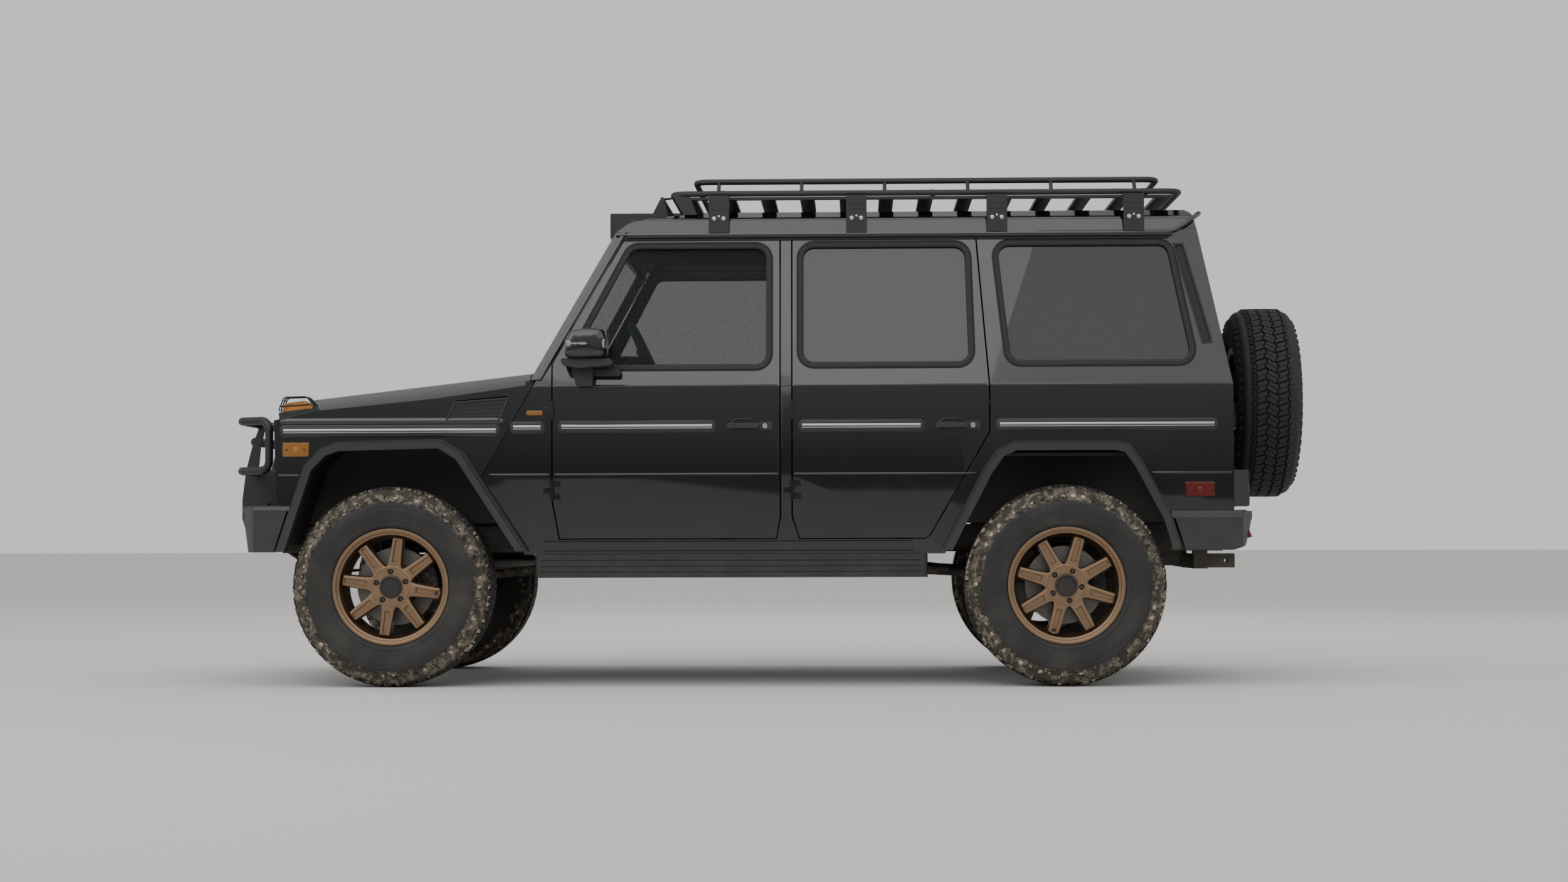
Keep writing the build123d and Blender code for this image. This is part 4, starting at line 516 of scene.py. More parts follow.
def satin_bronze():
    """Painted wheel: brown metal flake under satin lacquer, with road film in its corners."""
    paint = Paint("satin_bronze", Metallic=0.85, Coat_Weight=0.25, Coat_Roughness=0.3)
    flake = paint.noise(2600.0, 1.0)
    cloud = paint.noise(24.0, 5.0).rise(0.42, 0.75)
    base = paint.mix((0.205, 0.128, 0.074), (0.255, 0.162, 0.096), flake)
    paint.set(Base_Color=paint.mix(base, DUST, cloud * 0.12), Roughness=0.36 + cloud * 0.16)
    paint.bump(flake, 0.0001, 0.15)
    return paint


def metal(name, colour, rough, grain=0.0, metallic=1.0, dust=0.0):
    """Plain metal or plastic with noise in its roughness, or with dust near the ground."""
    paint = Paint(name, Metallic=metallic)
    if dust:
        dusted(paint, colour, rough, dust, top=1.2)
    else:
        patch = paint.noise(30.0, 4.0)
        paint.set(Base_Color=colour, Roughness=rough - 0.05 + patch * 0.12)
    if grain:
        paint.bump(paint.noise(grain, 3.0), 0.0004, 0.4)
    return paint


def cast_iron():
    """Rough casting with a film of dried mud."""
    paint = Paint("cast_iron", Metallic=0.2)
    cake = paint.noise(22.0, 8.0, 0.65).rise(0.45, 0.65)
    colour = paint.mix((0.035, 0.034, 0.033), (0.24, 0.195, 0.145), cake * 0.55)
    paint.set(Base_Color=colour, Roughness=0.7 + cake * 0.2)
    paint.bump(paint.noise(300.0, 4.0) + cake * 2.0, 0.0008, 0.6)
    return paint


def glass(name, colour, solid, index):
    """A pane that shows what is behind it by the rest of its solid share, and mirrors by its index."""
    return Paint(name, Base_Color=colour, Roughness=0.0, Alpha=solid, IOR=index, Specular_IOR_Level=0.5)


def fluted(name, scale, depth, strength, **fixed):
    """Moulded lamp plastic with fine vertical flutes."""
    paint = Paint(name, **fixed)
    bands = {"wave_type": "BANDS", "bands_direction": "X"}
    paint.bump(paint.node("ShaderNodeTexWave", bands, paint.place(), Scale=scale), depth, strength)
    return paint


def lens(name, colour, through=0.75):
    """Coloured lamp plastic."""
    return fluted(name, 60.0, 0.0008, 0.5, Base_Color=colour, Roughness=0.12, Transmission_Weight=through,
                  IOR=1.5)


def hide():
    """Black leather: pebbled grain with creases."""
    paint = Paint("black_hide", Base_Color=(0.016, 0.0155, 0.015), Sheen_Weight=0.1)
    cell = paint.node("ShaderNodeTexVoronoi", {"feature": "DISTANCE_TO_EDGE"}, paint.place(), Scale=420.0)
    paint.set(Roughness=0.46 + paint.noise(40.0) * 0.14)
    paint.bump(cell.rise(0.0, 0.35) + paint.noise(60.0, 5.0) * 0.8, 0.0006, 0.5)
    return paint


BODY = gloss_black()
PLASTIC = moulded_black(dust=0.09)
BOARD = moulded_black("board_black", (0.017, 0.0175, 0.018), 0.30, 0.07)
RACK = moulded_black("powder_black", (0.016, 0.016, 0.017), 0.42, 0.05)
UNDER = moulded_black("chassis_black", (0.016, 0.016, 0.016), 0.55, 0.26, 1.0)
SEAL = grained("seal_rubber", (0.010, 0.010, 0.011), 0.62, (600.0, 2.0), 0.0002, 0.3)
RUBBER = tyre_rubber("muddy_rubber")
CLEAN_RUBBER = tyre_rubber("clean_rubber", 0.0)
BRONZE = satin_bronze()
CHROME = metal("bright_trim", (0.62, 0.62, 0.62), 0.18)
STEEL = metal("worn_steel", (0.20, 0.195, 0.19), 0.42, 500.0, dust=0.35)
STRIP = metal("satin_strip", (0.46, 0.46, 0.45), 0.30)
CAST = cast_iron()
CLEAR = glass("clear_glass", (0.020, 0.024, 0.023), 0.40, 1.16)
TINTED = glass("tinted_glass", (0.016, 0.017, 0.018), 0.95, 1.62)
AMBER = lens("amber_lens", (0.96, 0.40, 0.085))
RED = lens("red_lens", (0.20, 0.012, 0.010), 0.5)
LAMP = glass("lamp_glass", (0.30, 0.31, 0.32), 0.22, 2.0)
HIDE = hide()
DASH = moulded_black("soft_dash", (0.020, 0.020, 0.021), 0.6, 0.0)
CARPET = grained("black_carpet", (0.018, 0.018, 0.019), 0.95, (900.0, 3.0, 0.7), 0.002, 0.8,
                 Sheen_Weight=0.25)
LINING = grained("woven_lining", (0.030, 0.030, 0.031), 0.9, (1400.0, 2.0, 0.6), 0.0006, 0.5)
CLEAN_SEAL = metal("hose_rubber", (0.016, 0.016, 0.016), 0.5, metallic=0.0)
MILKY = metal("milky_plastic", (0.62, 0.62, 0.58), 0.35, metallic=0.0)
SCREEN = metal("dark_screen", (0.010, 0.011, 0.012), 0.08, metallic=0.0)
CAP = moulded_black("cap_black", (0.012, 0.012, 0.0125), 0.32, 0.05)
# a painted highlight: the thin grey line in the window seals' groove
PAINTED_SEAL_HIGHLIGHT = metal("seal_highlight_paint", (0.10, 0.10, 0.10), 0.4, metallic=0.0)
DARK_STEEL = metal("dark_steel", (0.08, 0.078, 0.075), 0.42)
BRIGHT_LENS = fluted("bright_lens", 45.0, 0.0012, 0.7, Base_Color=(0.36, 0.37, 0.38), Roughness=0.14,
                     Metallic=0.55, Coat_Weight=1.0)
# a painted highlight: the lighter band along each bumper's lip
LIP_HIGHLIGHT = moulded_black("lip_highlight_paint", (0.045, 0.046, 0.048), 0.30, 0.10)
MIRROR = metal("mirror_silver", (0.86, 0.87, 0.88), 0.05)


# Stage: floor, lights and the camera where the picture was taken

def room_tint(tree):
    """Seen directly the room is an even pale grey. What it lights and mirrors is dim low down and far off."""
    room = Nodes(tree)
    back = tree.nodes["Background"]
    back.inputs["Strength"].default_value = 1.35
    direction = room.node("ShaderNodeTexCoord")
    y, z = (room.node("ShaderNodeSeparateXYZ", {}, direction, out=axis) for axis in (1, 2))
    ramp = room.node("ShaderNodeValToRGB", {}, z)
    stops = ramp.socket.node.color_ramp.elements
    # columns: height of the direction, brightness; straight up it stays white
    for place, bright in ((0.0, 0.040), (0.075, 0.44), (0.15, 0.40), (0.22, 1.0), (0.40, 0.95), (0.70, 0.72)):
        stop = stops.new(place) if place else stops[0]
        stop.color = (bright * 0.97, bright * 0.99, bright, 1)
    # columns: the direction's axis, from, to, share at each end
    far, raised = (room.node("ShaderNodeMapRange", {"interpolation_type": "SMOOTHSTEP"}, *row)
                   for row in ((y, -0.45, 0.05, 1.0, 0.0), (z, 0.13, 0.30, 0.0, 1.0)))
    shaded = room.mix(ramp, (0.215, 0.220, 0.225), far * raised)
    seen = room.mix(shaded, (0.56, 0.565, 0.57), room.node("ShaderNodeLightPath", out="Is Camera Ray"))
    room.put(back.inputs["Color"], seen)


def stage():
    """The room, a plain floor and three soft lights, of which only the key light shows in mirrors."""
    world = bpy.data.worlds.new("pale_room")
    bpy.context.scene.world = world
    world.use_nodes = True
    room_tint(world.node_tree)
    reach = 60.0
    corners = np.array([(x, y, 0) for x, y in rectangle(-reach, -reach, reach, reach)])
    mesh = mesh_of((corners, [(0, 1, 2, 3)]), "floor", outward=False)
    mesh.materials.append(Paint("pale_floor", Base_Color=(0.62, 0.60, 0.57), Roughness=0.85).material)
    linked("floor", mesh)
    # columns: name, place, target, size, power
    for name, place, target, size, power in (
            ("key_light", (3.0, 6.5, 7.0), (0, 0, 1), (12, 8), 300),
            ("back_light", (-2.0, -6.5, 6.5), (0, 0, 1), (9, 5), 180),
            ("top_light", (0.0, 0.0, 8.0), (0, 0, 0), (11, 7), 150)):
        lamp = bpy.data.lights.new(name, "AREA")
        lamp.shape, lamp.energy = "RECTANGLE", power
        lamp.size, lamp.size_y = size
        light = linked(name, lamp)
        light.location = place
        light.visible_glossy = name == "key_light"
        light.rotation_euler = (Vector(place) - Vector(target)).to_track_quat("Z", "Y").to_euler()


def camera():
    """Stands level with the sills at the car's left, turned, raised and rolled by a few degrees."""
    spot = Vector((-0.395, 12.13, 0.676))
    yaw, pitch, roll = (math.radians(angle) for angle in (1.57, 1.83, 0.17))
    focal_pixels, frame_pixels = 4264, 2500
    ahead = Vector((math.sin(yaw) * math.cos(pitch), -math.cos(yaw) * math.cos(pitch), math.sin(pitch)))
    right = ahead.cross(Vector((0, 0, 1))).normalized()
    up = right.cross(ahead)
    right, up = (right * math.cos(roll) - up * math.sin(roll), up * math.cos(roll) + right * math.sin(roll))
    data = bpy.data.cameras.new("camera")
    data.sensor_width = 36.0
    data.lens = focal_pixels / frame_pixels * data.sensor_width
    view = linked("camera", data)
    view.matrix_world = Matrix.Translation(spot) @ Matrix((right, up, -ahead)).transposed().to_4x4()
    bpy.context.scene.camera = view


# Tyres: a turned carcass with separate tread blocks laid on its crown and shoulders

TYRE_R = 0.425
TREAD_DEEP = 0.0115
PITCHES = 54
TREAD_HALF = 0.130
TYRE_STEPS = 160
# half the tread as (distance from the middle, radius), and the sidewall below it
CROWN = [(0.0, 0.4250), (0.050, 0.4248), (0.085, 0.4238), (0.103, 0.4215), (0.117, 0.4160), (0.1275, 0.4060),
         (0.1345, 0.3915), (0.1385, 0.3760), (0.1410, 0.3560), (0.1422, 0.3350)]
SIDEWALL = [(0.1418, 0.3300), (0.1424, 0.3285), (0.1422, 0.3230), (0.1410, 0.3060), (0.1385, 0.2900),
            (0.1350, 0.2740), (0.1340, 0.2700), (0.1352, 0.2680), (0.1345, 0.2620), (0.1300, 0.2540),
            (0.1255, 0.2500), (0.1190, 0.2474), (0.1175, 0.2400), (0.1170, 0.2300)]


def crown_curve():
    """The outer line of half the tread as (distance along it, y, radius), with smoothed corners."""
    line = np.array(CROWN)
    line = np.vstack([line[1:][::-1] * (-1, 1), line])
    along = np.r_[0, np.cumsum(np.linalg.norm(np.diff(line, axis=0), axis=1))]
    along -= along[len(along) // 2]
    fine = np.linspace(along[0], along[-1], 241)
    kernel = np.ones(9) / 9
    smooth = [np.convolve(np.pad(np.interp(fine, along, line[:, k]), 4, "edge"), kernel, "valid")
              for k in (0, 1)]
    return fine, smooth[0], smooth[1]


def on_tyre(curve, around, across, height):
    """Points at an angle around, a distance across the tread and a height above its outer line."""
    fine, ys, rs = curve
    y, r = np.interp(across, fine, ys), np.interp(across, fine, rs)
    slope_y, slope_r = np.gradient(ys, fine), np.gradient(rs, fine)
    ny, nr = -np.interp(across, fine, slope_r), np.interp(across, fine, slope_y)
    size = np.hypot(ny, nr)
    r, y = r + height * nr / size, y + height * ny / size
    return np.stack([r * np.cos(around), y, r * np.sin(around)], -1)


def tread_outlines():
    """Outlines of one pitch's blocks as arrays of (along, across): three zigzag inner rows and two shoulders,
    each block cut in two by a sipe."""
    pitch = 2 * math.pi * TYRE_R / PITCHES
    groove, sipe = 0.0068, 0.0014
    # how far a shoulder's long and short half reach round the corner
    reaches = 0.1840, 0.1690

    def zigzag(along, size, shift):
        phase = (along / pitch + shift) % 1.0
        return size * (np.abs(phase - 0.5) * 4 - 1)

    # columns: centre line, zigzag size, shift of each boundary between rows
    edges = [(-0.0700, 0.0040, 0.10), (-0.0240, 0.0065, 0.55), (0.0240, 0.0065, 0.05), (0.0700, 0.0040, 0.60)]
    # columns: start along the pitch, slant of the cut, bend of the cut, for each row
    cuts = [(0.30, 0.05, 0.000), (0.00, 0.30, 0.006), (0.50, -0.28, 0.006), (0.05, 0.30, 0.006),
            (0.80, -0.05, 0.000)]
    for row, (start, slant, bend) in enumerate(cuts):
        between = groove * (1.25 if row in (0, 4) else 1)
        for half in (0, 1):
            gaps = (between, sipe) if half == 0 else (sipe, between)
            first = start * pitch + half * pitch * 0.5 + gaps[0] / 2
            last = start * pitch + (half + 1) * pitch * 0.5 - gaps[1] / 2
            shares = np.linspace(0, 1, 4)

            def side(edge, push):
                along = first + (last - first) * shares
                if edge is None:
                    return along, np.full(4, math.copysign(reaches[half], push))
                middle, size, shift = edge
                lean = slant * middle + bend * math.copysign(1, middle) * (1 if row % 2 else -1)
                along = along + lean
                return along, middle + zigzag(along, size, shift) + push
            lower = None if row == 0 else edges[row - 1]
            upper = None if row == 4 else edges[row]
            low_along, low_across = side(lower, groove / 2 if lower else -1.0)
            high_along, high_across = side(upper, -groove / 2 if upper else 1.0)
            yield np.stack([np.r_[low_along, high_along[::-1]], np.r_[low_across, high_across[::-1]]], -1)


def tread(curve):
    """All blocks of a tyre: each outline is a foot, a shoulder ring and a slightly smaller top."""
    shapes, marks = [], []
    outlines = np.array(list(tread_outlines()))
    centre = outlines.mean(1, keepdims=True)
    # columns: height above the outer line, share of the outline's size
    rings = ((-TREAD_DEEP - 0.002, 1.05), (-0.0014, 1.0), (0.0, 0.93))
    seed = np.random.default_rng(5)
    count = outlines.shape[1]
    for number in range(PITCHES):
        base = 2 * math.pi * number / PITCHES
        wear = seed.uniform(-0.0006, 0, (len(outlines), 1))
        levels = []
        for height, share in rings:
            flat = centre + (outlines - centre) * share
            levels.append(on_tyre(curve, base + flat[..., 0] / TYRE_R, flat[..., 1], height + wear))
        points = np.stack(levels, 1)
        for block, outline in zip(points, outlines):
            spots, faces = grid(block, wrap_columns=True)
            faces.append(list(range(2 * count, 3 * count)))
            shapes.append((spots, faces))
            across = np.abs(np.tile(outline[:, 1], 3)) / TREAD_HALF
            deep = np.repeat([1.0, 0.12, 0.0], count)
            marks.append(np.stack([across, deep], -1))
    points, faces = joined(*shapes)
    return points, faces, np.vstack(marks)


def carcass(curve):
    """The tyre's body under the tread, down both sidewalls to the beads, and round inside."""
    fine, ys, rs = curve
    deep = TREAD_DEEP * np.clip((0.196 - np.abs(fine)) / 0.050, 0, 1)
    normal_y, normal_r = -np.gradient(rs, fine), np.gradient(ys, fine)
    crown = np.stack([rs - deep * normal_r, ys - deep * normal_y], -1)[::3]
    wall = np.array(SIDEWALL)[:, ::-1]
    inside = np.array([(0.2300, 0.1000), (0.2600, 0.1180), (0.3200, 0.1290), (0.3800, 0.1180),
                       (0.4050, 0.0800)])
    loop = np.vstack([crown, wall, inside, (inside * (1, -1))[::-1], (wall * (1, -1))[::-1]])
    shape = lathe(loop, (0, 0, 0), steps=TYRE_STEPS, closed=True)
    # off the crown the mark for the distance across is past the mud's reach
    across = np.full(len(loop), 1.6)
    across[:len(crown)] = np.abs(fine[::3]) / TREAD_HALF
    deep = np.where(np.arange(len(loop)) < len(crown), 1.0, 0.0)
    return *shape, np.repeat(np.stack([across, deep], -1), TYRE_STEPS, 0)


def tyres():
    """Five tyres from one set of blocks and one carcass, each turned by its own angle; the spare is clean."""
    curve = crown_curve()
    blocks, body = tread(curve), carcass(curve)
    points, faces = joined(blocks[:2], body[:2])
    marks = np.vstack([blocks[2], body[2]])
    for number, (node, hub) in enumerate(HUBS.items()):
        shape = turned((points, faces), "Y", 23.0 * number)
        if node == "spare_tyre":
            shape = turned(shape, "Z", 90)
        paint = CLEAN_RUBBER if node == "spare_tyre" else RUBBER
        piece(f"{node}_rubber", moved(shape, hub), paint, BODY_OF[node], sharp=28, outward=False,
              replaces=[node], slot="tyre", across=marks[:, 0], deep=marks[:, 1])


# Wheels: each is built with its axis along y and its outer face towards +y

SPOKES, LUGS = 8, 5
LUG_RADIUS, VALVE_X = 0.065, -0.196
LUG_SPOTS = [(LUG_RADIUS * math.cos(turn), LUG_RADIUS * math.sin(turn))
             for turn in np.radians(8 + 72 * np.arange(LUGS))]
LIP = [(0.2472, 0.1190), (0.2474, 0.1235), (0.2462, 0.1253), (0.2440, 0.1260), (0.2345, 0.1246),
       (0.2318, 0.1232), (0.2308, 0.1200), (0.2300, 0.1160), (0.2278, 0.1140), (0.2222, 0.1132),
       (0.2202, 0.1118), (0.2192, 0.1080), (0.2186, 0.1000), (0.2180, 0.0640), (0.2165, 0.0600),
       (0.2060, 0.0330), (0.2050, 0.0280), (0.2050, -0.0570), (0.2220, -0.0700), (0.2220, -0.1180),
       (0.2390, -0.1250), (0.2470, -0.1250), (0.2470, -0.1190), (0.2290, -0.1170), (0.2290, -0.0660),
       (0.2130, -0.0540), (0.2130, 0.0260), (0.2290, 0.0440), (0.2290, 0.1170)]
# columns: radius, half width, top of the spoke, depth of its pocket
SPOKE = [(0.0740, 0.0325, 0.1050, 0), (0.0880, 0.0300, 0.1056, 0), (0.0980, 0.0272, 0.1060, 0),
         (0.1050, 0.0264, 0.1060, 0), (0.1080, 0.0262, 0.1060, 1), (0.1500, 0.0239, 0.1060, 1),
         (0.1990, 0.0217, 0.1060, 1), (0.2015, 0.0216, 0.1060, 0), (0.2050, 0.0214, 0.1055, 0),
         (0.2078, 0.0213, 0.1025, 0), (0.2120, 0.0213, 0.0920, 0), (0.2195, 0.0216, 0.0860, 0)]
POCKET = 0.0085


def spoke():
    """A tapered bar along x with a sunken pocket in its top, splayed towards its back."""
    rings = []
    for radius, wide, top, deep in SPOKE:
        inner = 0.0118 - 0.0026 * (radius - 0.105) / 0.095
        half = [(inner - 0.0020, top - POCKET * deep), (inner, top), (wide - 0.0032, top),
                (wide - 0.0009, top - 0.0009),
                (wide, top - 0.0034), (wide + 0.0048, 0.0640)]
        line = half + [(-side, height) for side, height in half[::-1]]
        rings.append([(radius, height, side) for side, height in line])
    return capped(rings)


def painted_wheel():
    """Lip and barrel, spokes, and the hub disc with its groove and its five deep holes."""
    disc = [(0.026, 0.060), (0.0900, 0.060), (0.0905, 0.1030), (0.0888, 0.1054), (0.0865, 0.1062),
            (0.0812, 0.1062), (0.0805, 0.1046), (0.0785, 0.1046), (0.0778, 0.1062), (0.0500, 0.1062),
            (0.0490, 0.1035), (0.026, 0.1035)]
    holes = [prism(circle(0.0122, 20, spot), 0.084, 0.120) for spot in LUG_SPOTS]
    hub = cut(lathe(disc, (0, 0, 0), steps=96, closed=True), joined(*holes))
    ring = [(0.0100, 0.1040), (0.0160, 0.1040), (0.0160, 0.1085), (0.0148, 0.1097), (0.0112, 0.1097),
            (0.0100, 0.1085)]
    valve = lathe(ring, (VALVE_X, 0, 0), steps=24, closed=True)
    spokes = [turned(spoke(), "Y", 360 / SPOKES * number) for number in range(SPOKES)]
    return joined(lathe(LIP, (0, 0, 0), steps=144, closed=True), hub, valve, *spokes)


def wheel_trim():
    """The plain dark cap and the valve stem."""
    cap = [(0.0455, 0.1020), (0.0462, 0.1120), (0.0450, 0.1158), (0.0425, 0.1176), (0.0390, 0.1176),
           (0.0374, 0.1160), (0.0366, 0.1138), (0.0300, 0.1134), (0.0150, 0.1142), (0.0004, 0.1146)]
    stem = [(0.0048, 0.1000), (0.0048, 0.1078), (0.0040, 0.1088), (0.0004, 0.1088)]
    return joined(lathe(cap, (0, 0, 0)), lathe(stem, (VALVE_X, 0, 0), steps=16))


def lug_nuts():
    """Five six-sided nuts with domed ends, deep in the hub's holes."""
    nuts, dome = [], [(0.0084, 0.0950), (0.0070, 0.0985), (0.0004, 0.0995)]
    for x, z in LUG_SPOTS:
        nuts.append(prism(circle(0.0098, 6, (x, z), 30), 0.082, 0.0955))
        nuts.append(lathe(dome, (x, 0, z), steps=16))
    return joined(*nuts)


def brake_disc():
    """A vented disc: two plates with vanes between them, drilled hat and hub."""
    plates = lathe([(0.098, -0.0385), (0.1655, -0.0385), (0.1655, -0.0305), (0.1590, -0.0300),
                    (0.1590, -0.0245),
                    (0.1655, -0.0240), (0.1655, -0.0158), (0.098, -0.0158)], (0, 0, 0), steps=96, closed=True)
    hat = lathe([(0.060, -0.038), (0.098, -0.036), (0.098, -0.0160), (0.090, 0.0240), (0.086, 0.0300),
                 (0.0700, 0.0320),
                 (0.0620, 0.0340), (0.0620, 0.0600), (0.0260, 0.0600),
                 (0.0260, -0.038)], (0, 0, 0), closed=True)
    vanes = [turned(block((0.128, -0.0272, 0), (0.058, 0.007, 0.005)), "Y", 12 * number)
             for number in range(30)]
    return plates, joined(hat, *vanes)


def caliper(hub, side):
    """A two-piston body that straddles the disc behind the axle, with its bridge and bolts."""
    body = [(0.100, -0.078), (0.150, -0.082), (0.172, -0.074), (0.184, -0.060), (0.185, 0.004),
            (0.176, 0.014), (0.150, 0.016), (0.112, 0.012), (0.108, -0.008), (0.168, -0.010), (0.171, -0.014),
            (0.171, -0.040), (0.166, -0.045), (0.100, -0.046)]
    piston = [(0.021, 0.010), (0.021, 0.0195), (0.019, 0.0215), (0.0004, 0.0215)]
    spots = [(0.140 * math.cos(turn), 0, 0.140 * math.sin(turn)) for turn in np.radians((162, 186))]
    shape = joined(sector(body, (0, 0, 0), 152, 196), *[lathe(piston, spot, steps=24) for spot in spots])
    return moved(shape if side > 0 else mirrored(shape), hub)


def wheels():
    """Four road wheels with disc, hat and caliper, each at its own turn, and the spare."""
    painted, trim, nuts, (plates, hat) = painted_wheel(), wheel_trim(), lug_nuts(), brake_disc()
    shown = [("wheel", painted, BRONZE, 0.0), ("cap", trim, CAP, 0.0), ("nuts", nuts, DARK_STEEL, 0.0006)]
    # columns: corner, turn in degrees, node that holds the caliper
    for corner, turn, holder in (("front_left", 8, "knuckle_left"), ("front_right", 31, "knuckle_right"),
                                 ("rear_left", 106, "rear_axle"), ("rear_right", 64, "rear_axle")):
        hub, side = HUBS[f"tyre_{corner}"], 1 if corner.endswith("left") else -1
        node = f"rim_{corner}"
        for name, shape, paint, edge in shown + [("disc", plates, STEEL, 0.0), ("hat", hat, CAST, 0.0)]:
            shape = moved(turned(shape if side > 0 else mirrored(shape), "Y", -turn), hub)
            piece(f"{name}_{corner}", shape, paint, BODY_OF[node], edge, replaces=[node],
                  slot=SLOT_OF[node] if name == "wheel" else None)
        piece(f"caliper_{corner}", caliper(hub, side), CAST, BODY_OF[holder], 0.002)
    node = "spare_rim"
    for name, shape, paint, _ in shown:
        piece(f"{name}_spare", moved(turned(shape, "Z", 90), HUBS["spare_tyre"]), paint, BODY_OF[node],
              replaces=[node], slot=SLOT_OF[node] if name == "wheel" else None)


# Side trim: mouldings with twin bright strips, crease and belt beads, window seals, gutter

# columns: body, front and rear end behind the front axle, height
MOULDINGS = [("root", -0.482, 0.457, 1.086), ("root", 0.499, 0.648, 1.098),
             ("door_front", 0.704, 1.375, 1.100),
             ("door_rear", 1.725, 2.258, 1.101), ("root", 2.560, 3.494, 1.103)]
CREASES = [("root", -0.490, -0.398), ("root", 0.412, 0.668), ("door_front", 0.688, 1.641),
           ("door_rear", 1.705, 2.478),
           ("root", 3.215, 3.552)]
BELTS = [("root", 0.607, 0.672), ("door_front", 0.688, 1.641), ("root", 1.652, 1.694),
         ("door_rear", 1.705, 2.524),
         ("root", 2.537, 3.556)]
MOULDING = [(-0.002, -0.0275), (0.0035, -0.0265), (0.0065, -0.0215), (0.0075, -0.0120), (0.0075, 0.0120),
            (0.0068, 0.0215), (0.0040, 0.0268), (-0.002, 0.0275)]
UPPER_STRIP = [(0.0070, -0.0010), (0.0095, -0.0002), (0.0108, 0.0030), (0.0104, 0.0070), (0.0085, 0.0095),
               (0.0070, 0.0098)]
LOWER_STRIP = [(0.0070, -0.0075), (0.0086, -0.0072), (0.0092, -0.0060), (0.0086, -0.0048), (0.0070, -0.0045)]
BEAD = [(-0.002, -0.0050), (0.0012, -0.0042), (0.0030, -0.0015), (0.0032, 0.0010), (0.0018, 0.0036),
        (-0.002, 0.0046)]
CREASE_Z = 0.899
HALVES = {"root": "root", "door_front": "door_front_{}", "door_rear": "door_rear_{}"}
FLIPS = {"left": lambda shape: shape, "right": mirrored}


def tapered(section, front, rear, z, ends, y=BODY_HALF):
    """A section run along the side between two distances, its ends shrunk over a few millimetres."""
    stations = [(behind(front), 0.2, 0.5, y, z), (behind(front + ends), 1, 1, y, z),
                (behind(rear - ends), 1, 1, y, z), (behind(rear), 0.2, 0.5, y, z)]
    return swept(section, stations)


def on_sides(name, rows, paint, edge=0.0, **options):
    """Pieces of a left-side list of (body, shape), joined by body and repeated on the right side."""
    for side, flip in FLIPS.items():
        bodies = {}
        for body, shape in rows:
            bodies.setdefault(HALVES[body].format(side), []).append(flip(shape))
        for body, shapes in bodies.items():
            piece(f"{name}_{body if body != 'root' else 'body'}_{side}", joined(*shapes), paint, body, edge,
                  **options)


def side_trim():
    """Mouldings with their strips, beads along the crease and the belt, and the fender's ridge."""
    on_sides("moulding", [(body, tapered(MOULDING, front, rear, z, 0.012))
                          for body, front, rear, z in MOULDINGS],
             PLASTIC)
    on_sides("strip", [(body, straight(section, front + 0.016, rear - 0.016, BODY_HALF, z))
                       for body, front, rear, z in MOULDINGS
                       for section in (UPPER_STRIP, LOWER_STRIP)], STRIP)
    on_sides("crease", [(body, tapered(BEAD, front, rear, CREASE_Z, 0.010)) for body, front, rear in CREASES],
             BODY)
    on_sides("belt", [(body, tapered(BEAD, front, rear, BELT_Z + 0.0045, 0.004, BODY_HALF - 0.0002))
                      for body, front, rear in BELTS], BODY)
    ridge = [(-0.002, -0.016), (0.0022, -0.012), (0.0046, -0.003), (0.0046, 0.002), (0.0020, 0.011),
             (-0.002, 0.015)]
    on_sides("ridge", [("root", tapered(ridge, -0.480, 0.470, 1.128, 0.03))], BODY)


WINDOWS = [("door_front", [(0.742, 1.358), (1.014, 1.869), (1.596, 1.869), (1.596, 1.358)]),
           ("door_rear", [(1.740, 1.366), (1.740, 1.872), (2.440, 1.872), (2.455, 1.366)]),
           ("root", [(2.620, 1.370), (2.565, 1.876), (3.297, 1.876), (3.398, 1.370)])]
# columns: distance outward from the opening, height above the skin
RUBBER_SEAL = [(-0.0070, -0.0130), (-0.0072, -0.0015), (-0.0050, 0.0012), (0.0015, 0.0030), (0.0040, 0.0028),
               (0.0048, 0.0010), (0.0062, 0.0010), (0.0070, 0.0030), (0.0135, 0.0034), (0.0145, 0.0014),
               (0.0158, 0.0014), (0.0168, 0.0030), (0.0205, 0.0022), (0.0225, 0.0000), (0.0225, -0.0030),
               (0.0000, -0.0030), (-0.0020, -0.0130)]
# the thin grey line in the seal's groove, a painted highlight
HIGHLIGHT_LINE_PROFILE = [(0.0048, 0.0011), (0.0051, 0.0019), (0.0059, 0.0019), (0.0062, 0.0011)]


def window_seals():
    """A rubber seal round each side window, with a thin grey line in its groove as a painted highlight."""
    for name, profile, paint, options in (("seal", RUBBER_SEAL, SEAL, {"sharp": 40}),
                                          ("seal_highlight_line", HIGHLIGHT_LINE_PROFILE, PAINTED_SEAL_HIGHLIGHT, {})):
        on_sides(name, [(body, framed(set_back(outline), 0.052, profile, side_y))
                        for body, outline in WINDOWS],
                 paint, **options)


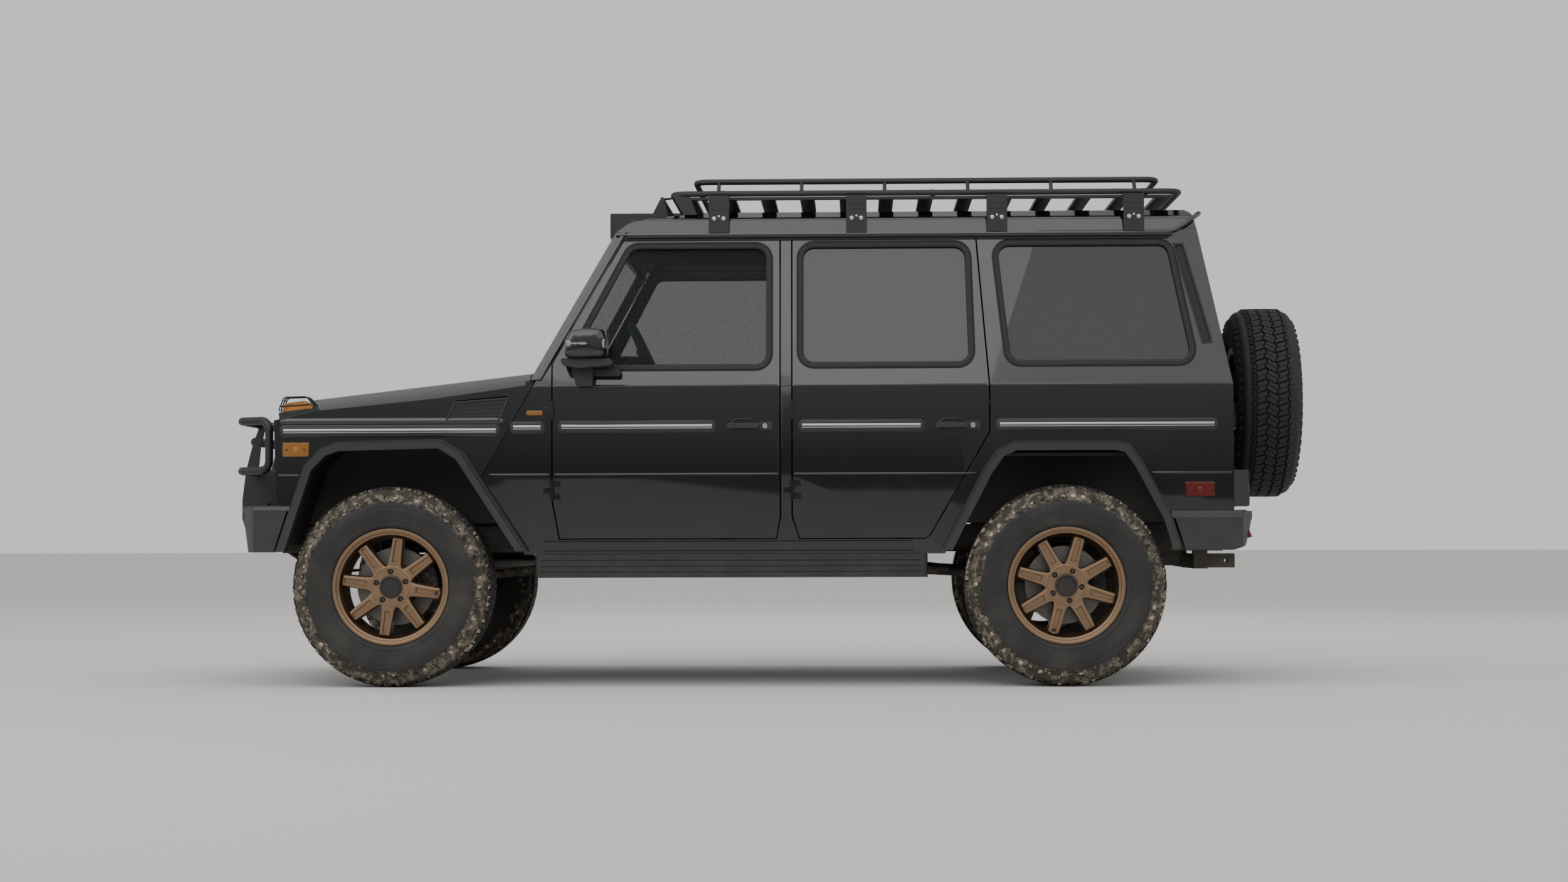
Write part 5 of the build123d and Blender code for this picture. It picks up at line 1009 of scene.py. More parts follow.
def gutter():
    """A rolled lip over the doors that kicks up round the rear corner and runs across the roof's back, with a
    black seal under it."""
    lip = [(-0.004, -0.0035), (0.0010, -0.0045), (0.0025, -0.0010), (0.0015, 0.0030), (-0.004, 0.0035)]
    rubber = [(-0.006, -0.007), (0.004, -0.006), (0.006, 0.0), (0.003, 0.006), (-0.006, 0.006)]
    front, rear = 0.945, 3.300
    # columns: distance behind the front axle, y, z, radius
    kick = [(3.285, 0.7560, 1.9215, 0.0050), (3.330, 0.7555, 1.9330, 0.0075), (3.375, 0.7500, 1.9600, 0.0085),
            (3.408, 0.7400, 1.9880, 0.0090), (3.428, 0.7200, 2.0040, 0.0095), (3.440, 0.6800, 2.0110, 0.0095),
            (3.448, 0.6000, 2.0160, 0.0095), (3.452, 0.3000, 2.0210, 0.0095), (3.453, 0.0, 2.0220, 0.0095)]
    parts = [("gutter", straight(lip, front, rear, 0.7612, 1.9235), BODY),
             ("gutter_kick", tube([(behind(row[0]), *row[1:3]) for row in kick], [row[3] for row in kick]),
              BODY),
             ("gutter_seal", straight(rubber, front + 0.02, rear, 0.7500, 1.9040), SEAL)]
    for side, flip in FLIPS.items():
        for name, shape, paint in parts:
            piece(f"{name}_{side}", flip(shape), paint)


# Lamps: turn signals with guards, side markers, tail lamps and headlamps

def lamps():
    """Turn signals under wire guards, side markers, tail lamps, and headlamps with bowl, bulb and glass."""
    amber, red, black, wires = [], [], [], []
    middle = 0.700
    base = set_back([(-0.500, 1.137), (-0.504, 1.170), (-0.346, 1.190), (-0.343, 1.172)])
    black.append(prism(rounded(base, 0.003, 2), middle - 0.045, middle + 0.045))
    line = set_back([(-0.494, 1.168), (-0.476, 1.208), (-0.452, 1.214), (-0.392, 1.221), (-0.368, 1.206),
                     (-0.353, 1.186)])
    centre, flat = np.mean(line, 0), rounded(line, 0.008, 3)
    # columns: y from the lamp's middle, share of the outline's size
    shares = [(-0.043, 0.80), (-0.040, 0.92), (-0.034, 1.0), (0.034, 1.0), (0.040, 0.92), (0.043, 0.80)]
    amber.append(capped([at_y(centre + (flat - centre) * share, middle + offset)
                         for offset, share in shares]))
    guard = [(-0.506, 1.176), (-0.484, 1.230), (-0.474, 1.236), (-0.392, 1.238), (-0.380, 1.232),
             (-0.347, 1.194)]
    for y in (middle - 0.040, middle, middle + 0.040):
        wires.append(tube([(behind(distance), y, z) for distance, z in rounded(guard, 0.006, 3)], 0.0028, 8))
    for distance, z in ((-0.497, 1.197), (-0.487, 1.222), (-0.357, 1.206), (-0.372, 1.224)):
        wires.append(tube([(behind(distance), middle + side * 0.041, z) for side in (-1, 1)], 0.0022, 8))
    for y in (middle - 0.0455, middle + 0.0455):
        wires.append(tube([(behind(-0.499), y, 1.197), (behind(-0.357), y, 1.206)], 0.0024, 8))

    def marker(front, rear, low, high, group, jewel=True):
        """A flat lens on a dark bed, with a faceted middle between two screws."""
        x, z = behind((front + rear) / 2), (low + high) / 2
        wide, tall = rear - front, high - low
        black.append(block((x, BODY_HALF + 0.0012, z), (wide + 0.004, 0.0024, tall + 0.004), 0.006))
        rings = []
        # columns: height over the body side, how far the outline has drawn in
        for lift, less in ((0.0, 0.0), (0.0045, 0.0), (0.0072, 0.0018), (0.0085, 0.0042)):
            outline = rectangle(x - wide / 2 + less, z - tall / 2 + less, x + wide / 2 - less,
                                z + tall / 2 - less)
            rings.append(at_y(rounded(outline, 0.006, 4), BODY_HALF + 0.001 + lift))
        points, faces = grid(np.array(rings), wrap_columns=True)
        group.append((points, faces + [list(range(len(points) - len(rings[0]), len(points)))]))
        if jewel:
            facet = [(0.0150, 0.0078), (0.0105, 0.0102), (0.0040, 0.0112), (0.0003, 0.0113)]
            group.append(lathe(facet, (x, BODY_HALF, z), steps=8))
            screw = [(0.0046, 0.006), (0.0046, 0.0099), (0.0030, 0.0104), (0.0003, 0.0100)]
            for side in (-1, 1):
                black.append(lathe(screw, (x + side * wide * 0.34, BODY_HALF, z), steps=14))
    marker(-0.469, -0.356, 0.978, 1.038, amber)
    marker(0.571, 0.640, 1.150, 1.170, amber, False)
    marker(3.356, 3.477, 0.798, 0.859, red)
    foot, tall, y = 0.755, 0.154, 0.7430
    # columns: low and high share of the tail lamp's height, group
    for low, high, group in ((0.0, 0.36, red), (0.36, 0.64, amber), (0.64, 1.0, red)):
        z = foot + tall * (low + high) / 2
        group.append(block((behind(3.593), y, z), (0.062, 0.158, tall * (high - low) - 0.0015), 0.008))
    black.append(block((behind(3.572), y, foot + tall / 2), (0.026, 0.160, tall), 0.004, "x"))
    black.append(block((behind(3.590), 0.8235, foot + tall / 2), (0.062, 0.0035, tall + 0.001), 0.006))
    lamp = (FRONT_X, 0.490, 0.960)
    bowl = [(0.0500, -0.431), (0.0620, -0.440), (0.0850, -0.470), (0.0960, -0.500), (0.0972, -0.520),
            (0.0955, -0.520), (0.0930, -0.500), (0.0800, -0.468), (0.0560, -0.442), (0.0004, -0.436)]
    bulb = [(0.020, 0.440), (0.020, 0.470), (0.024, 0.478), (0.022, 0.492), (0.012, 0.500), (0.0004, 0.502)]
    front = [(0.0970, 0.500), (0.0972, 0.532), (0.0950, 0.5395), (0.0880, 0.5440), (0.0600, 0.5510),
             (0.0300, 0.5545), (0.0004, 0.5555)]
    bowls = both_sides(joined(facing_back(bowl, lamp), lathe(bulb, lamp, "x", 32)))
    panes = both_sides(lathe(front, lamp, "x", 64))
    piece("lamp_bowls", bowls, MIRROR, replaces=["headlamps"], outward=False)
    piece("headlamp_glass", panes, LAMP, replaces=["headlamps"], outward=False, slot="headlamp")
    for name, shapes, paint, edge in (("amber_lamps", amber, AMBER, 0.0006), ("red_lamps", red, RED, 0.0012),
                                      ("lamp_mounts", black, PLASTIC, 0.0),
                                      ("lamp_guards", wires, SEAL, 0.0)):
        piece(name, both_sides(joined(*shapes)), paint, edge=edge, replaces=["signal_lamps"],
              slot="lamp" if name == "amber_lamps" else None)


# Fender vents, mirrors, handles, hood fittings, grille and wipers

def fender_vents():
    """A frame with six slanted blades over a dark back, on each front fender."""
    outline = set_back([(0.222, 1.124), (0.261, 1.209), (0.498, 1.228), (0.454, 1.124)])
    profile = [(0.0, -0.004), (0.0, 0.0035), (-0.0020, 0.0050), (-0.0070, 0.0050), (-0.0090, 0.0035),
               (-0.0100, -0.004)]
    # columns: y from the body side, z of the blade's section
    section = [(-0.012, 0.007), (0.0010, -0.0035), (0.0028, -0.0028), (0.0030, -0.0008), (-0.009, 0.0100)]
    blades = 6
    shapes = [framed(outline, 0.008, profile, lambda z: BODY_HALF)]
    near, above, far, low_far = np.array(outline)
    for number in range(blades):
        share = (number + 0.55) / blades
        low, high = near * (1 - share) + above * share, low_far * (1 - share) + far * share
        ahead = (high - low) / np.linalg.norm(high - low)
        shapes.append(capped([[(spot[0], BODY_HALF + y, spot[1] + z) for y, z in section]
                              for spot in (low + ahead * 0.010, high - ahead * 0.012)]))
    piece("vent_frames", both_sides(joined(*shapes)), PLASTIC)
    piece("vent_backs", both_sides(prism(grown(outline, -0.004), BODY_HALF + 0.0002, BODY_HALF + 0.0006)),
          SEAL)


def mirrors():
    """Each mirror is a domed gloss cap on a dark base, with a clear indicator strip and a glass behind."""
    flat = rounded(set_back([(0.747, 1.388), (0.750, 1.458), (0.772, 1.499), (0.838, 1.5105), (0.912, 1.506),
                             (0.9250, 1.470), (0.9245, 1.386), (0.790, 1.3815)]), 0.022, 6)
    centre = flat.mean(0)
    # columns: y, share of the outline's size
    dome = [(0.858, 0.90), (0.866, 0.975), (0.880, 1.0), (0.950, 1.0), (0.975, 0.985), (0.992, 0.945),
            (1.001, 0.88), (1.006, 0.78), (1.0085, 0.60), (1.0095, 0.30)]
    cap = capped([at_y(centre + (flat - centre) * share, y) for y, share in dome])
    rows, middle, widest = [], 1.443, 1.0098
    for share in np.linspace(0, 1, 9):
        x = behind(0.760 + 0.160 * share)
        y = 0.9995 + 0.0095 * math.sin(math.pi * min(1, 0.15 + share * 0.85)) ** 0.5
        tall = 0.013 + 0.008 * share
        rows.append([(x, y - 0.022, middle - tall), (x, y, middle - tall * 0.9),
                     (x, min(y + 0.001, widest), middle),
                     (x, y, middle + tall * 0.9), (x, y - 0.022, middle + tall)])
    inner = BODY_HALF + 0.0004
    # columns: outline, corner radius, inner and outer y of the mount, the stalk and the arm
    base = [([(0.724, 1.384), (0.940, 1.384), (0.956, 1.354), (0.800, 1.341), (0.742, 1.354)], 0.012,
             0.862, 0.968),
            ([(0.766, 1.352), (0.862, 1.352), (0.858, 1.270), (0.790, 1.268)], 0.010, inner, 0.889),
            ([(0.850, 1.345), (0.976, 1.342), (0.974, 1.313), (0.850, 1.313)], 0.010, inner, 0.863)]
    mount = joined(*[prism(rounded(set_back(outline), radius, 4), low, high)
                     for outline, radius, low, high in base])
    pane = prism(rounded([(0.876, 1.420), (0.990, 1.420), (0.992, 1.494), (0.874, 1.498)], 0.016, 5),
                 behind(0.9252), behind(0.9240), "x")
    # columns: name, shape, material, edge radius, crease angle
    parts = [("cap", cap, BODY, 0.0, 50), ("base", mount, PLASTIC, 0.003, 32),
             ("strip", capped(rows), BRIGHT_LENS, 0.0, 50), ("glass", pane, MIRROR, 0.0004, 32)]
    for side, flip in FLIPS.items():
        node = f"mirror_{side}"
        for name, shape, paint, edge, sharp in parts:
            piece(f"mirror_{name}_{side}", flip(shape), paint, f"door_front_{side}", edge, sharp,
                  replaces=[node],
                  slot=SLOT_OF[node] if name == "base" else None)


def door_handles():
    """A bar grip with its lock plate, the bright lock and the rim of the bowl behind the grip."""
    rows, locks, rims = [], [], []
    z = 1.102
    for body, distance in (("door_front", 1.492), ("door_rear", 2.371)):
        x, y = behind(distance), BODY_HALF + 0.026
        grip = rounded(rectangle(x - 0.069, 1.0905, x + 0.069, 1.1140), 0.010, 4)
        centre = grip.mean(0)
        # columns: height over the grip's middle, share of the outline along and up
        rows.append((body, capped([at_y(centre + (grip - centre) * share, y + lift) for lift, share in (
            (-0.0135, (1, 1)), (-0.0005, (1, 1)), (0.0015, (0.985, 0.90)), (0.0022, (0.96, 0.70)))])))
        rows.append((body, block((x - 0.092, BODY_HALF + 0.0052, z), (0.064, 0.0085, 0.036), 0.008)))
        locks.append((body, lathe([(0.0108, 0.008), (0.0108, 0.0128), (0.0096, 0.0142), (0.0088, 0.0136),
                                   (0.0020, 0.0136), (0.0016, 0.0120), (0.0003, 0.0120)],
                                  (x - 0.092, BODY_HALF, z), steps=24)))
        bowl = rounded(rectangle(x - 0.050, 1.073, x + 0.050, 1.131), 0.028, 8)
        rims.append((body, tube(at_y(bowl, BODY_HALF + 0.0004), 0.0022, 8, True)))
    on_sides("handle", rows, PLASTIC, 0.0015)
    on_sides("lock", locks, CHROME)
    on_sides("handle_rim", rims, BODY)


def nose():
    """Grille mesh of upright and level wires, louvres in the cowl and vents on the hood."""
    x, upright, level = behind(-0.487), 45, 15
    wires = [tube([(x, y, 0.842), (x - 0.002, y, 1.068)], 0.0012, 6)
             for y in (-0.322 + number * 0.644 / (upright - 1) for number in range(upright))]
    wires += [tube([(x - 0.001, -0.328, z), (x - 0.001, 0.328, z)], 0.0012, 6)
              for z in (0.850 + number * 0.210 / (level - 1) for number in range(level))]
    piece("grille_mesh", joined(*wires), SEAL)
    piece("cowl_fins", joined(*[block((behind(0.570), -0.40 + number * 0.10, 1.3025), (0.020, 0.060, 0.004),
                                      0.0015, "z")
                                for number in range(9)]), PLASTIC)
    vents = []
    for side in (-1, 1):
        for distance in (0.300 + number * 0.030 for number in range(5)):
            # the hood's upper face, and the vent's height over it
            z = 1.3480 + 0.112 * (distance - 0.548) / 0.968 + 0.0130
            vents.append(block((behind(distance), side * 0.19, z), (0.020, 0.150, 0.004), 0.006, "z"))
    piece("hood_vents", joined(*vents), PLASTIC, "hood", 0.001)


def bar_gussets():
    """Side plates that carry the bull bar back over the bumper, each with two bolt holes, and their bolts."""
    outline = set_back([(-0.706, 0.7685), (-0.700, 0.900), (-0.688, 0.960), (-0.560, 0.880), (-0.505, 0.840),
                        (-0.505, 0.7685)])
    holes = joined(*[prism(circle(0.009, 28, spot), 0.250, 0.280)
                     for spot in set_back([(-0.560, 0.800), (-0.620, 0.800)])])
    plate = cut(prism(rounded(outline, 0.012, 4), 0.262, 0.270), holes)
    foot = block((behind(-0.600), 0.285, 0.7725), (0.170, 0.046, 0.008), 0.006, "z")
    bolt = [(0.011, 0.7765), (0.011, 0.7840), (0.009, 0.7860), (0.0004, 0.7860)]
    bolts = [lathe(bolt, (behind(distance), 0.290, 0), "z", 6) for distance in (-0.655, -0.545)]
    cross = tube([(behind(-0.604), -0.262, 0.815), (behind(-0.604), 0.262, 0.815)], 0.014, 16)
    piece("bar_gussets", joined(both_sides(joined(plate, foot)), cross), RACK, edge=0.001)
    piece("bar_bolts", both_sides(joined(*bolts)), DARK_STEEL)


def bumper_trim():
    """Lip bands on both bumpers' sides, lighter as a painted highlight, fog lamps in front, and step pads and
    reflectors behind.
    """
    # columns: distances behind the front axle, section as (y, z)
    bands = [((-0.583, -0.560, -0.500, -0.432),
              [(0.8608, 0.7455), (0.8638, 0.7475), (0.8638, 0.7605), (0.8588, 0.7690)]),
             ((3.292, 3.420, 3.540, 3.588),
              [(0.860, 0.7060), (0.8632, 0.7080), (0.8632, 0.7320), (0.858, 0.7372)])]
    # the bands are lighter than the bumpers: a painted highlight along the lip
    piece("bumper_lip_highlights", both_sides(joined(*[
        capped([[(behind(distance), y, z) for y, z in section] for distance in distances])
        for distances, section in bands])), LIP_HIGHLIGHT)
    fog = (behind(-0.651) + 0.004, 0.560, 0.665)
    bowl = [(0.052, 0.0), (0.046, -0.012), (0.030, -0.026), (0.0004, -0.030)]
    pane = [(0.053, 0.002), (0.050, 0.006), (0.030, 0.009), (0.0004, 0.010)]
    rim = [(0.052, -0.004), (0.064, -0.004), (0.064, 0.008), (0.060, 0.012), (0.055, 0.012), (0.052, 0.008)]
    piece("fog_bowls", both_sides(lathe(bowl, fog, "x", 40)), MIRROR, outward=False)
    piece("fog_panes", both_sides(lathe(pane, fog, "x", 40)), LAMP, outward=False)
    piece("fog_rims", both_sides(lathe(rim, fog, "x", 40, closed=True)), PLASTIC)
    pads = [block((behind(3.609), y, 0.7378), (0.076, 0.300, 0.004), 0.020, "z") for y in (-0.45, 0.45)]
    ribs = [block((behind(3.609), y + step, 0.7404), (0.064, 0.006, 0.0024), 0.002, "z")
            for y in (-0.45, 0.45) for step in np.linspace(-0.13, 0.13, 14)]
    piece("step_pads", joined(*pads, *ribs), SEAL)
    # laid against the bumper's face, which leans by its run over its height
    lean = math.degrees(math.atan2(0.034, 0.090))
    reflectors = turned(both_sides(block((-0.002, 0.700, 0), (0.014, 0.120, 0.036), 0.006, "x")), "Y", lean)
    piece("rear_reflectors", moved(reflectors, (behind(3.6275), 0, 0.640)), RED, edge=0.001)


def wipers():
    """Two arms that lie along the windscreen's foot, each with a spring strut and a rubber blade."""
    foot_x, foot_z, top_z, run = behind(0.585), 1.300, 1.935, 0.360
    slope = math.atan2(1, 1 / ((top_z - foot_z) / run))
    normal = np.array([math.sin(slope), 0, math.cos(slope)])

    def on_screen(y, up, lift):
        """A point a distance up the glass from its foot and a height over it."""
        return np.array([foot_x - up * math.cos(slope), y, foot_z + up * math.sin(slope)]) + normal * lift
    for number, pivot in enumerate((0.56, -0.10)):
        start, joint, end = (on_screen(pivot - along, up, lift) for along, up, lift in (
            (0.0, 0.020, 0.010), (0.05, 0.060, 0.024), (0.40, 0.115, 0.022)))
        arm = tube([start, joint, end], [0.007, 0.006, 0.0035], 10)
        post = tube([on_screen(pivot, 0.020, -0.010), start + normal * 0.008], 0.010, 14)
        low, high = on_screen(pivot - 0.08, 0.080, 0.002), on_screen(pivot - 0.58, 0.150, 0.002)
        spine = tube([low + normal * 0.012, high + normal * 0.012], 0.0032, 8)
        clips = [tube([low + (high - low) * share, low + (high - low) * share + normal * 0.014], 0.003, 8)
                 for share in (0.08, 0.3, 0.55, 0.8, 0.94)]
        piece(f"wiper_{number}", joined(arm, post, spine, *clips), PLASTIC)
        piece(f"wiper_blade_{number}", tube([low, high], 0.0045, 6), SEAL)


# Seats: each pad is a rounded block, swollen as cloth under pressure, then given its bolsters and seams

def rounded_block(size, radius, soft):
    """A block about the origin with rounded plan corners, drawn in towards its top and bottom faces."""
    wide, deep, tall = (whole / 2 for whole in size)
    plan = rounded(rectangle(-wide, -deep, wide, deep), radius, 6)
    rows = []
    # columns: share of the half height, share of the softening taken off the plan
    for level, inward in ((-1.0, 1.0), (-0.94, 0.55), (-0.78, 0.16), (-0.5, 0.0), (0.5, 0.0), (0.78, 0.16),
                          (0.94, 0.55), (1.0, 1.0)):
        spots = plan * (1 - inward * soft / np.array([wide, deep]))
        rows.append(np.column_stack([spots, np.full(len(spots), level * tall)]))
    return capped(rows)


def stuffed(shape, cap=0.024, voxel=0.011):
    """A pad swollen from a shape: remeshed, pushed out by cloth pressure for 20 frames with each point's move
    capped, then subdivided once."""
    item = linked("stuffing", mesh_of(shape))
    remesh = item.modifiers.new("remesh", "REMESH")
    remesh.mode, remesh.voxel_size = "VOXEL", voxel
    start, faces = taken(item)
    item.modifiers.clear()
    item.data = mesh_of((start, faces))
    frames = 20
    cloth = item.modifiers.new("swell", "CLOTH")
    cloth.settings.use_pressure = True
    cloth.settings.uniform_pressure_force = 4.0
    cloth.settings.effector_weights.gravity = 0.0
    cloth.point_cache.frame_start, cloth.point_cache.frame_end = 1, frames
    for number in range(1, frames + 1):
        bpy.context.scene.frame_set(number)
    swollen, _ = taken(item)
    step = swollen - start
    length = np.linalg.norm(step, axis=1, keepdims=True)
    start = start + step * np.minimum(1, cap / np.maximum(length, 1e-9))
    item.modifiers.clear()
    bpy.context.scene.frame_set(1)
    item.data = mesh_of((start, faces))
    finer = item.modifiers.new("finer", "SUBSURF")
    finer.levels = finer.render_levels = 1
    shape = taken(item)
    bpy.data.objects.remove(item)
    return shape


def smooth_rise(values, low, high):
    """0 below low, 1 above high, and a smooth step between them."""
    share = np.clip((values - low) / (high - low), 0, 1)
    return share * share * (3 - 2 * share)


def dip(values, centre, width):
    """1 at a centre, falling to nothing by about twice a width from it."""
    return np.exp(-((values - centre) / width) ** 2)


def upholstered(shape, size, bolster=0.0, seam=None, cross=()):
    """Bolsters raised outside a lengthwise seam, grooves sunk along it and at the cross lines inside it, and
    a waist drawn in round the side."""
    seam_width, seam_depth, waist_width, waist_depth = 0.0045, 0.0065, 0.0035, 0.0035
    points, faces = shape
    points = points.copy()
    x, y, z = points.T
    top = smooth_rise(z, size[2] * 0.15, size[2] * 0.45)
    edge = np.abs(y)
    lift, groove = np.zeros(len(points)), np.zeros(len(points))
    if seam:
        lift = bolster * smooth_rise(edge, seam, seam + 0.035)
        lift *= 1 - 0.6 * smooth_rise(edge, size[1] * 0.40, size[1] * 0.5)
        groove = dip(edge, seam, seam_width)
        inner = 1 - smooth_rise(edge, seam - 0.012, seam)
        for line in cross:
            groove = np.maximum(groove, dip(x, line, seam_width) * inner)
    points[:, 2] += top * (lift - seam_depth * groove)
    waist = dip(z, -size[2] * 0.05, waist_width) * waist_depth
    flat = points[:, :2] - points.mean(0)[:2]
    points[:, :2] -= flat / np.maximum(np.linalg.norm(flat, axis=1, keepdims=True), 1e-6) * waist[:, None]
    return points, faces


def seats():
    """Two front seats and a split bench: simulated pads on plain bases, with rods, rails and a box."""
    # columns: size, corner radius, softening, bolster, lengthwise seam, cross seams
    pads = {"cushion": ((0.450, 0.460, 0.135), 0.060, 0.022, 0.020, 0.140, (-0.12, -0.04, 0.04, 0.12)),
            "backrest": ((0.560, 0.450, 0.095), 0.070, 0.018, 0.018, 0.135,
                         (-0.20, -0.12, -0.04, 0.04, 0.12)),
            "headrest": ((0.145, 0.235, 0.085), 0.040, 0.018, 0.0, None, ()),
            "bench": ((0.440, 0.535, 0.120), 0.045, 0.020, 0.0, 0.185, (-0.10, 0.0, 0.10)),
            "bench_back": ((0.530, 0.535, 0.080), 0.045, 0.016, 0.0, 0.185, (-0.15, 0.0, 0.15))}
    made = {}
    for name, (size, radius, soft, bolster, seam, cross) in pads.items():
        fine = {"cap": 0.014, "voxel": 0.009} if name == "headrest" else {}
        made[name] = upholstered(stuffed(rounded_block(size, radius, soft), **fine), size, bolster, seam,
                                 cross)
    # columns: name of the piece, pad, tilt in degrees, distance behind the front axle, height
    front = [("seat_cushion", "cushion", -3, 1.350, 1.000),
             ("seat_backrest", "backrest", 90 - 11.5, 1.690, 1.360),
             ("seat_headrest", "headrest", 90 - 5, 1.748, 1.752)]
    rear = [("bench_cushion", "bench", -2, 2.205, 1.005),
            ("bench_backrest", "bench_back", 90 - 9, 2.490, 1.335)]
    for rows, half, node, fill in ((front, 0.370, "front_seats", 0.7), (rear, 0.280, "rear_bench", 0.6)):
        for side, sign in SIDES.items():
            for name, pad, tilt, distance, z in rows:
                shape = moved(turned(made[pad], "Y", tilt), (behind(distance), sign * half, z))
                piece(f"{name}_{side}", shape, HIDE, sharp=60, replaces=[node],
                                slot="leather" if name == "seat_cushion" else None)
    hard, rods = [], []
    for y in (0.370, -0.370):
        hard.append(block((behind(1.365), y, 0.815), (0.400, 0.380, 0.200), 0.030, "z"))
        for skirt in (0.228, -0.228):
            hard.append(block((behind(1.380), y + skirt, 0.895), (0.440, 0.014, 0.110), 0.030))
        for rail in (-0.170, 0.170):
            hard.append(block((behind(1.370), y + rail, 0.712), (0.470, 0.040, 0.016), 0.004))
        for rod in (-0.060, 0.060):
            rods.append(tube([(behind(1.738), y + rod, 1.620), (behind(1.744), y + rod, 1.700)], 0.006, 12))
        rods.append(tube([(behind(1.560), y + 0.238, 1.020), (behind(1.560), y + 0.248, 1.020)], 0.026, 24))
    piece("seat_bases", joined(*hard), PLASTIC, edge=0.004, replaces=["front_seats"])
    piece("seat_rods", joined(*rods), CHROME, replaces=["front_seats"])
    box = block((behind(2.230), 0, 0.825), (0.400, 1.080, 0.235), 0.020, "z")
    piece("bench_box", box, CARPET, edge=0.006, replaces=["rear_bench"])


# Cabin trim

def cabin():
    """Headliner, visors, mirror, gauges, screen, air vents, glovebox, grab handle and carpets."""
    skin = np.array([(0.709, 1.934), (0.692, 1.976), (0.638, 2.004), (0.0, 2.017)])
    outer, inner = skin - (0.004, 0.004), skin - (0.011, 0.011)
    outer[-1, 0] = inner[-1, 0] = 0.0
    band = np.vstack([outer[:-1], outer[::-1] * (-1, 1), inner[:-1] * (-1, 1), inner[::-1]])
    liner = swept(band, [(behind(distance), 1, 1, 0, 0) for distance in (1.000, 1.800, 2.600, 3.360)])
    piece("headliner", liner, LINING, sharp=40)
    visors = [turned(block((behind(1.075), y, 1.945), (0.150, 0.400, 0.016), 0.020, "z"), "Y", -6,
                     (behind(1.0), 0, 1.95)) for y in (-0.350, 0.350)]
    piece("sun_visors", joined(*visors), LINING, edge=0.004)
    back = rounded(rectangle(-0.115, -0.030, 0.115, 0.034), 0.022, 5)
    shell = prism(back + (0, 1.815), behind(1.006), behind(0.984), "x")
    arm = tube([(behind(0.992), 0, 1.820), (behind(0.965), 0, 1.862), (behind(0.960), 0, 1.885)], 0.010, 12)
    piece("inner_mirror", joined(shell, arm), PLASTIC, edge=0.004)
    piece("inner_mirror_glass", prism(back * (0.93, 0.86) + (0, 1.8155), behind(1.0068), behind(1.0056), "x"),
          MIRROR)
    dark, bright, marks, needles = [], [], [], []
    x, z = 0.6905, 1.345
    dial = [(0.0003, 0.0), (0.046, 0.0), (0.046, 0.0012), (0.0003, 0.0012)]
    rim = [(0.046, 0.0), (0.050, 0.0), (0.050, 0.006), (0.0475, 0.0075), (0.046, 0.005)]
    for y in (0.465, 0.295):
        dark.append(facing_back(dial, (x, y, z), 40))
        bright.append(facing_back(rim, (x, y, z), 40, closed=True))
        for degrees in range(220, -41, -26):
            angle = math.radians(degrees)
            spot = (x - 0.0016, y - math.cos(angle) * 0.038, z + math.sin(angle) * 0.038)
            marks.append(turned(block(spot, (0.0008, 0.0085, 0.0018), 0, "x"), "X", 180 - degrees, spot))
        needles.append(turned(block((x - 0.0028, y + 0.014, z), (0.0010, 0.032, 0.0020), 0, "x"), "X", 35,
                              (x, y, z)))
    x, z, reach = 0.6735, 1.272, 0.030
    rim = [(reach, -0.004), (0.037, -0.004), (0.037, 0.007), (0.034, 0.009), (reach, 0.004)]
    for y in (-0.680, -0.170, 0.170, 0.680):
        bright.append(facing_back(rim, (x, y, z), 36, closed=True))
        for offset in (-0.018, -0.006, 0.006, 0.018):
            wide = 2 * math.sqrt(reach**2 - offset**2)
            dark.append(block((x - 0.002, y, z + offset), (0.006, wide, 0.0025), 0, "x"))
    screen = turned(block((0.664, 0, 1.268), (0.014, 0.205, 0.088), 0.010, "x"), "Y", -8, (0.670, 0, 1.268))
    dark.append(turned(block((0.6685, -0.380, 1.180), (0.010, 0.330, 0.086), 0.012, "x"), "Y", 15,
                       (0.670, 0, 1.180)))
    for y in (-0.045, -0.015, 0.015, 0.045):
        key = block((0.6600, y, 1.190), (0.010, 0.022, 0.012), 0.003, "x")
        dark.append(turned(key, "Y", 12, (0.662, 0, 1.190)))
    handle = tube([(x, y, 1.262) for x, y in ((0.668, -0.505), (0.634, -0.495), (0.630, -0.470),
                                              (0.630, -0.290), (0.634, -0.265), (0.668, -0.255))], 0.010, 16)
    # columns: name, shapes, material, edge radius
    for name, shapes, paint, edge in (("details", dark, CAP, 0.001), ("rings", bright, STRIP, 0.0),
                                      ("marks", marks, CHROME, 0.0), ("needles", needles, AMBER, 0.0),
                                      ("screen", [screen], SCREEN, 0.002),
                                      ("handle", [handle], PLASTIC, 0.0)):
        piece(f"dash_{name}", joined(*shapes), paint, edge=edge)
    # columns: distance behind the front axle, y, length, width, corner radius
    mats = [block((behind(distance), y, 0.7075), (along, wide, 0.0050), radius, "z")
            for distance, y, along, wide, radius in (
                (0.980, -0.420, 0.560, 0.560, 0.040), (0.980, 0.420, 0.560, 0.560, 0.040),
                (1.815, -0.420, 0.290, 0.560, 0.030), (1.815, 0.420, 0.290, 0.560, 0.030),
                (3.030, 0, 0.780, 0.900, 0.030))]
    piece("carpets", joined(*mats), CARPET, edge=0.002)


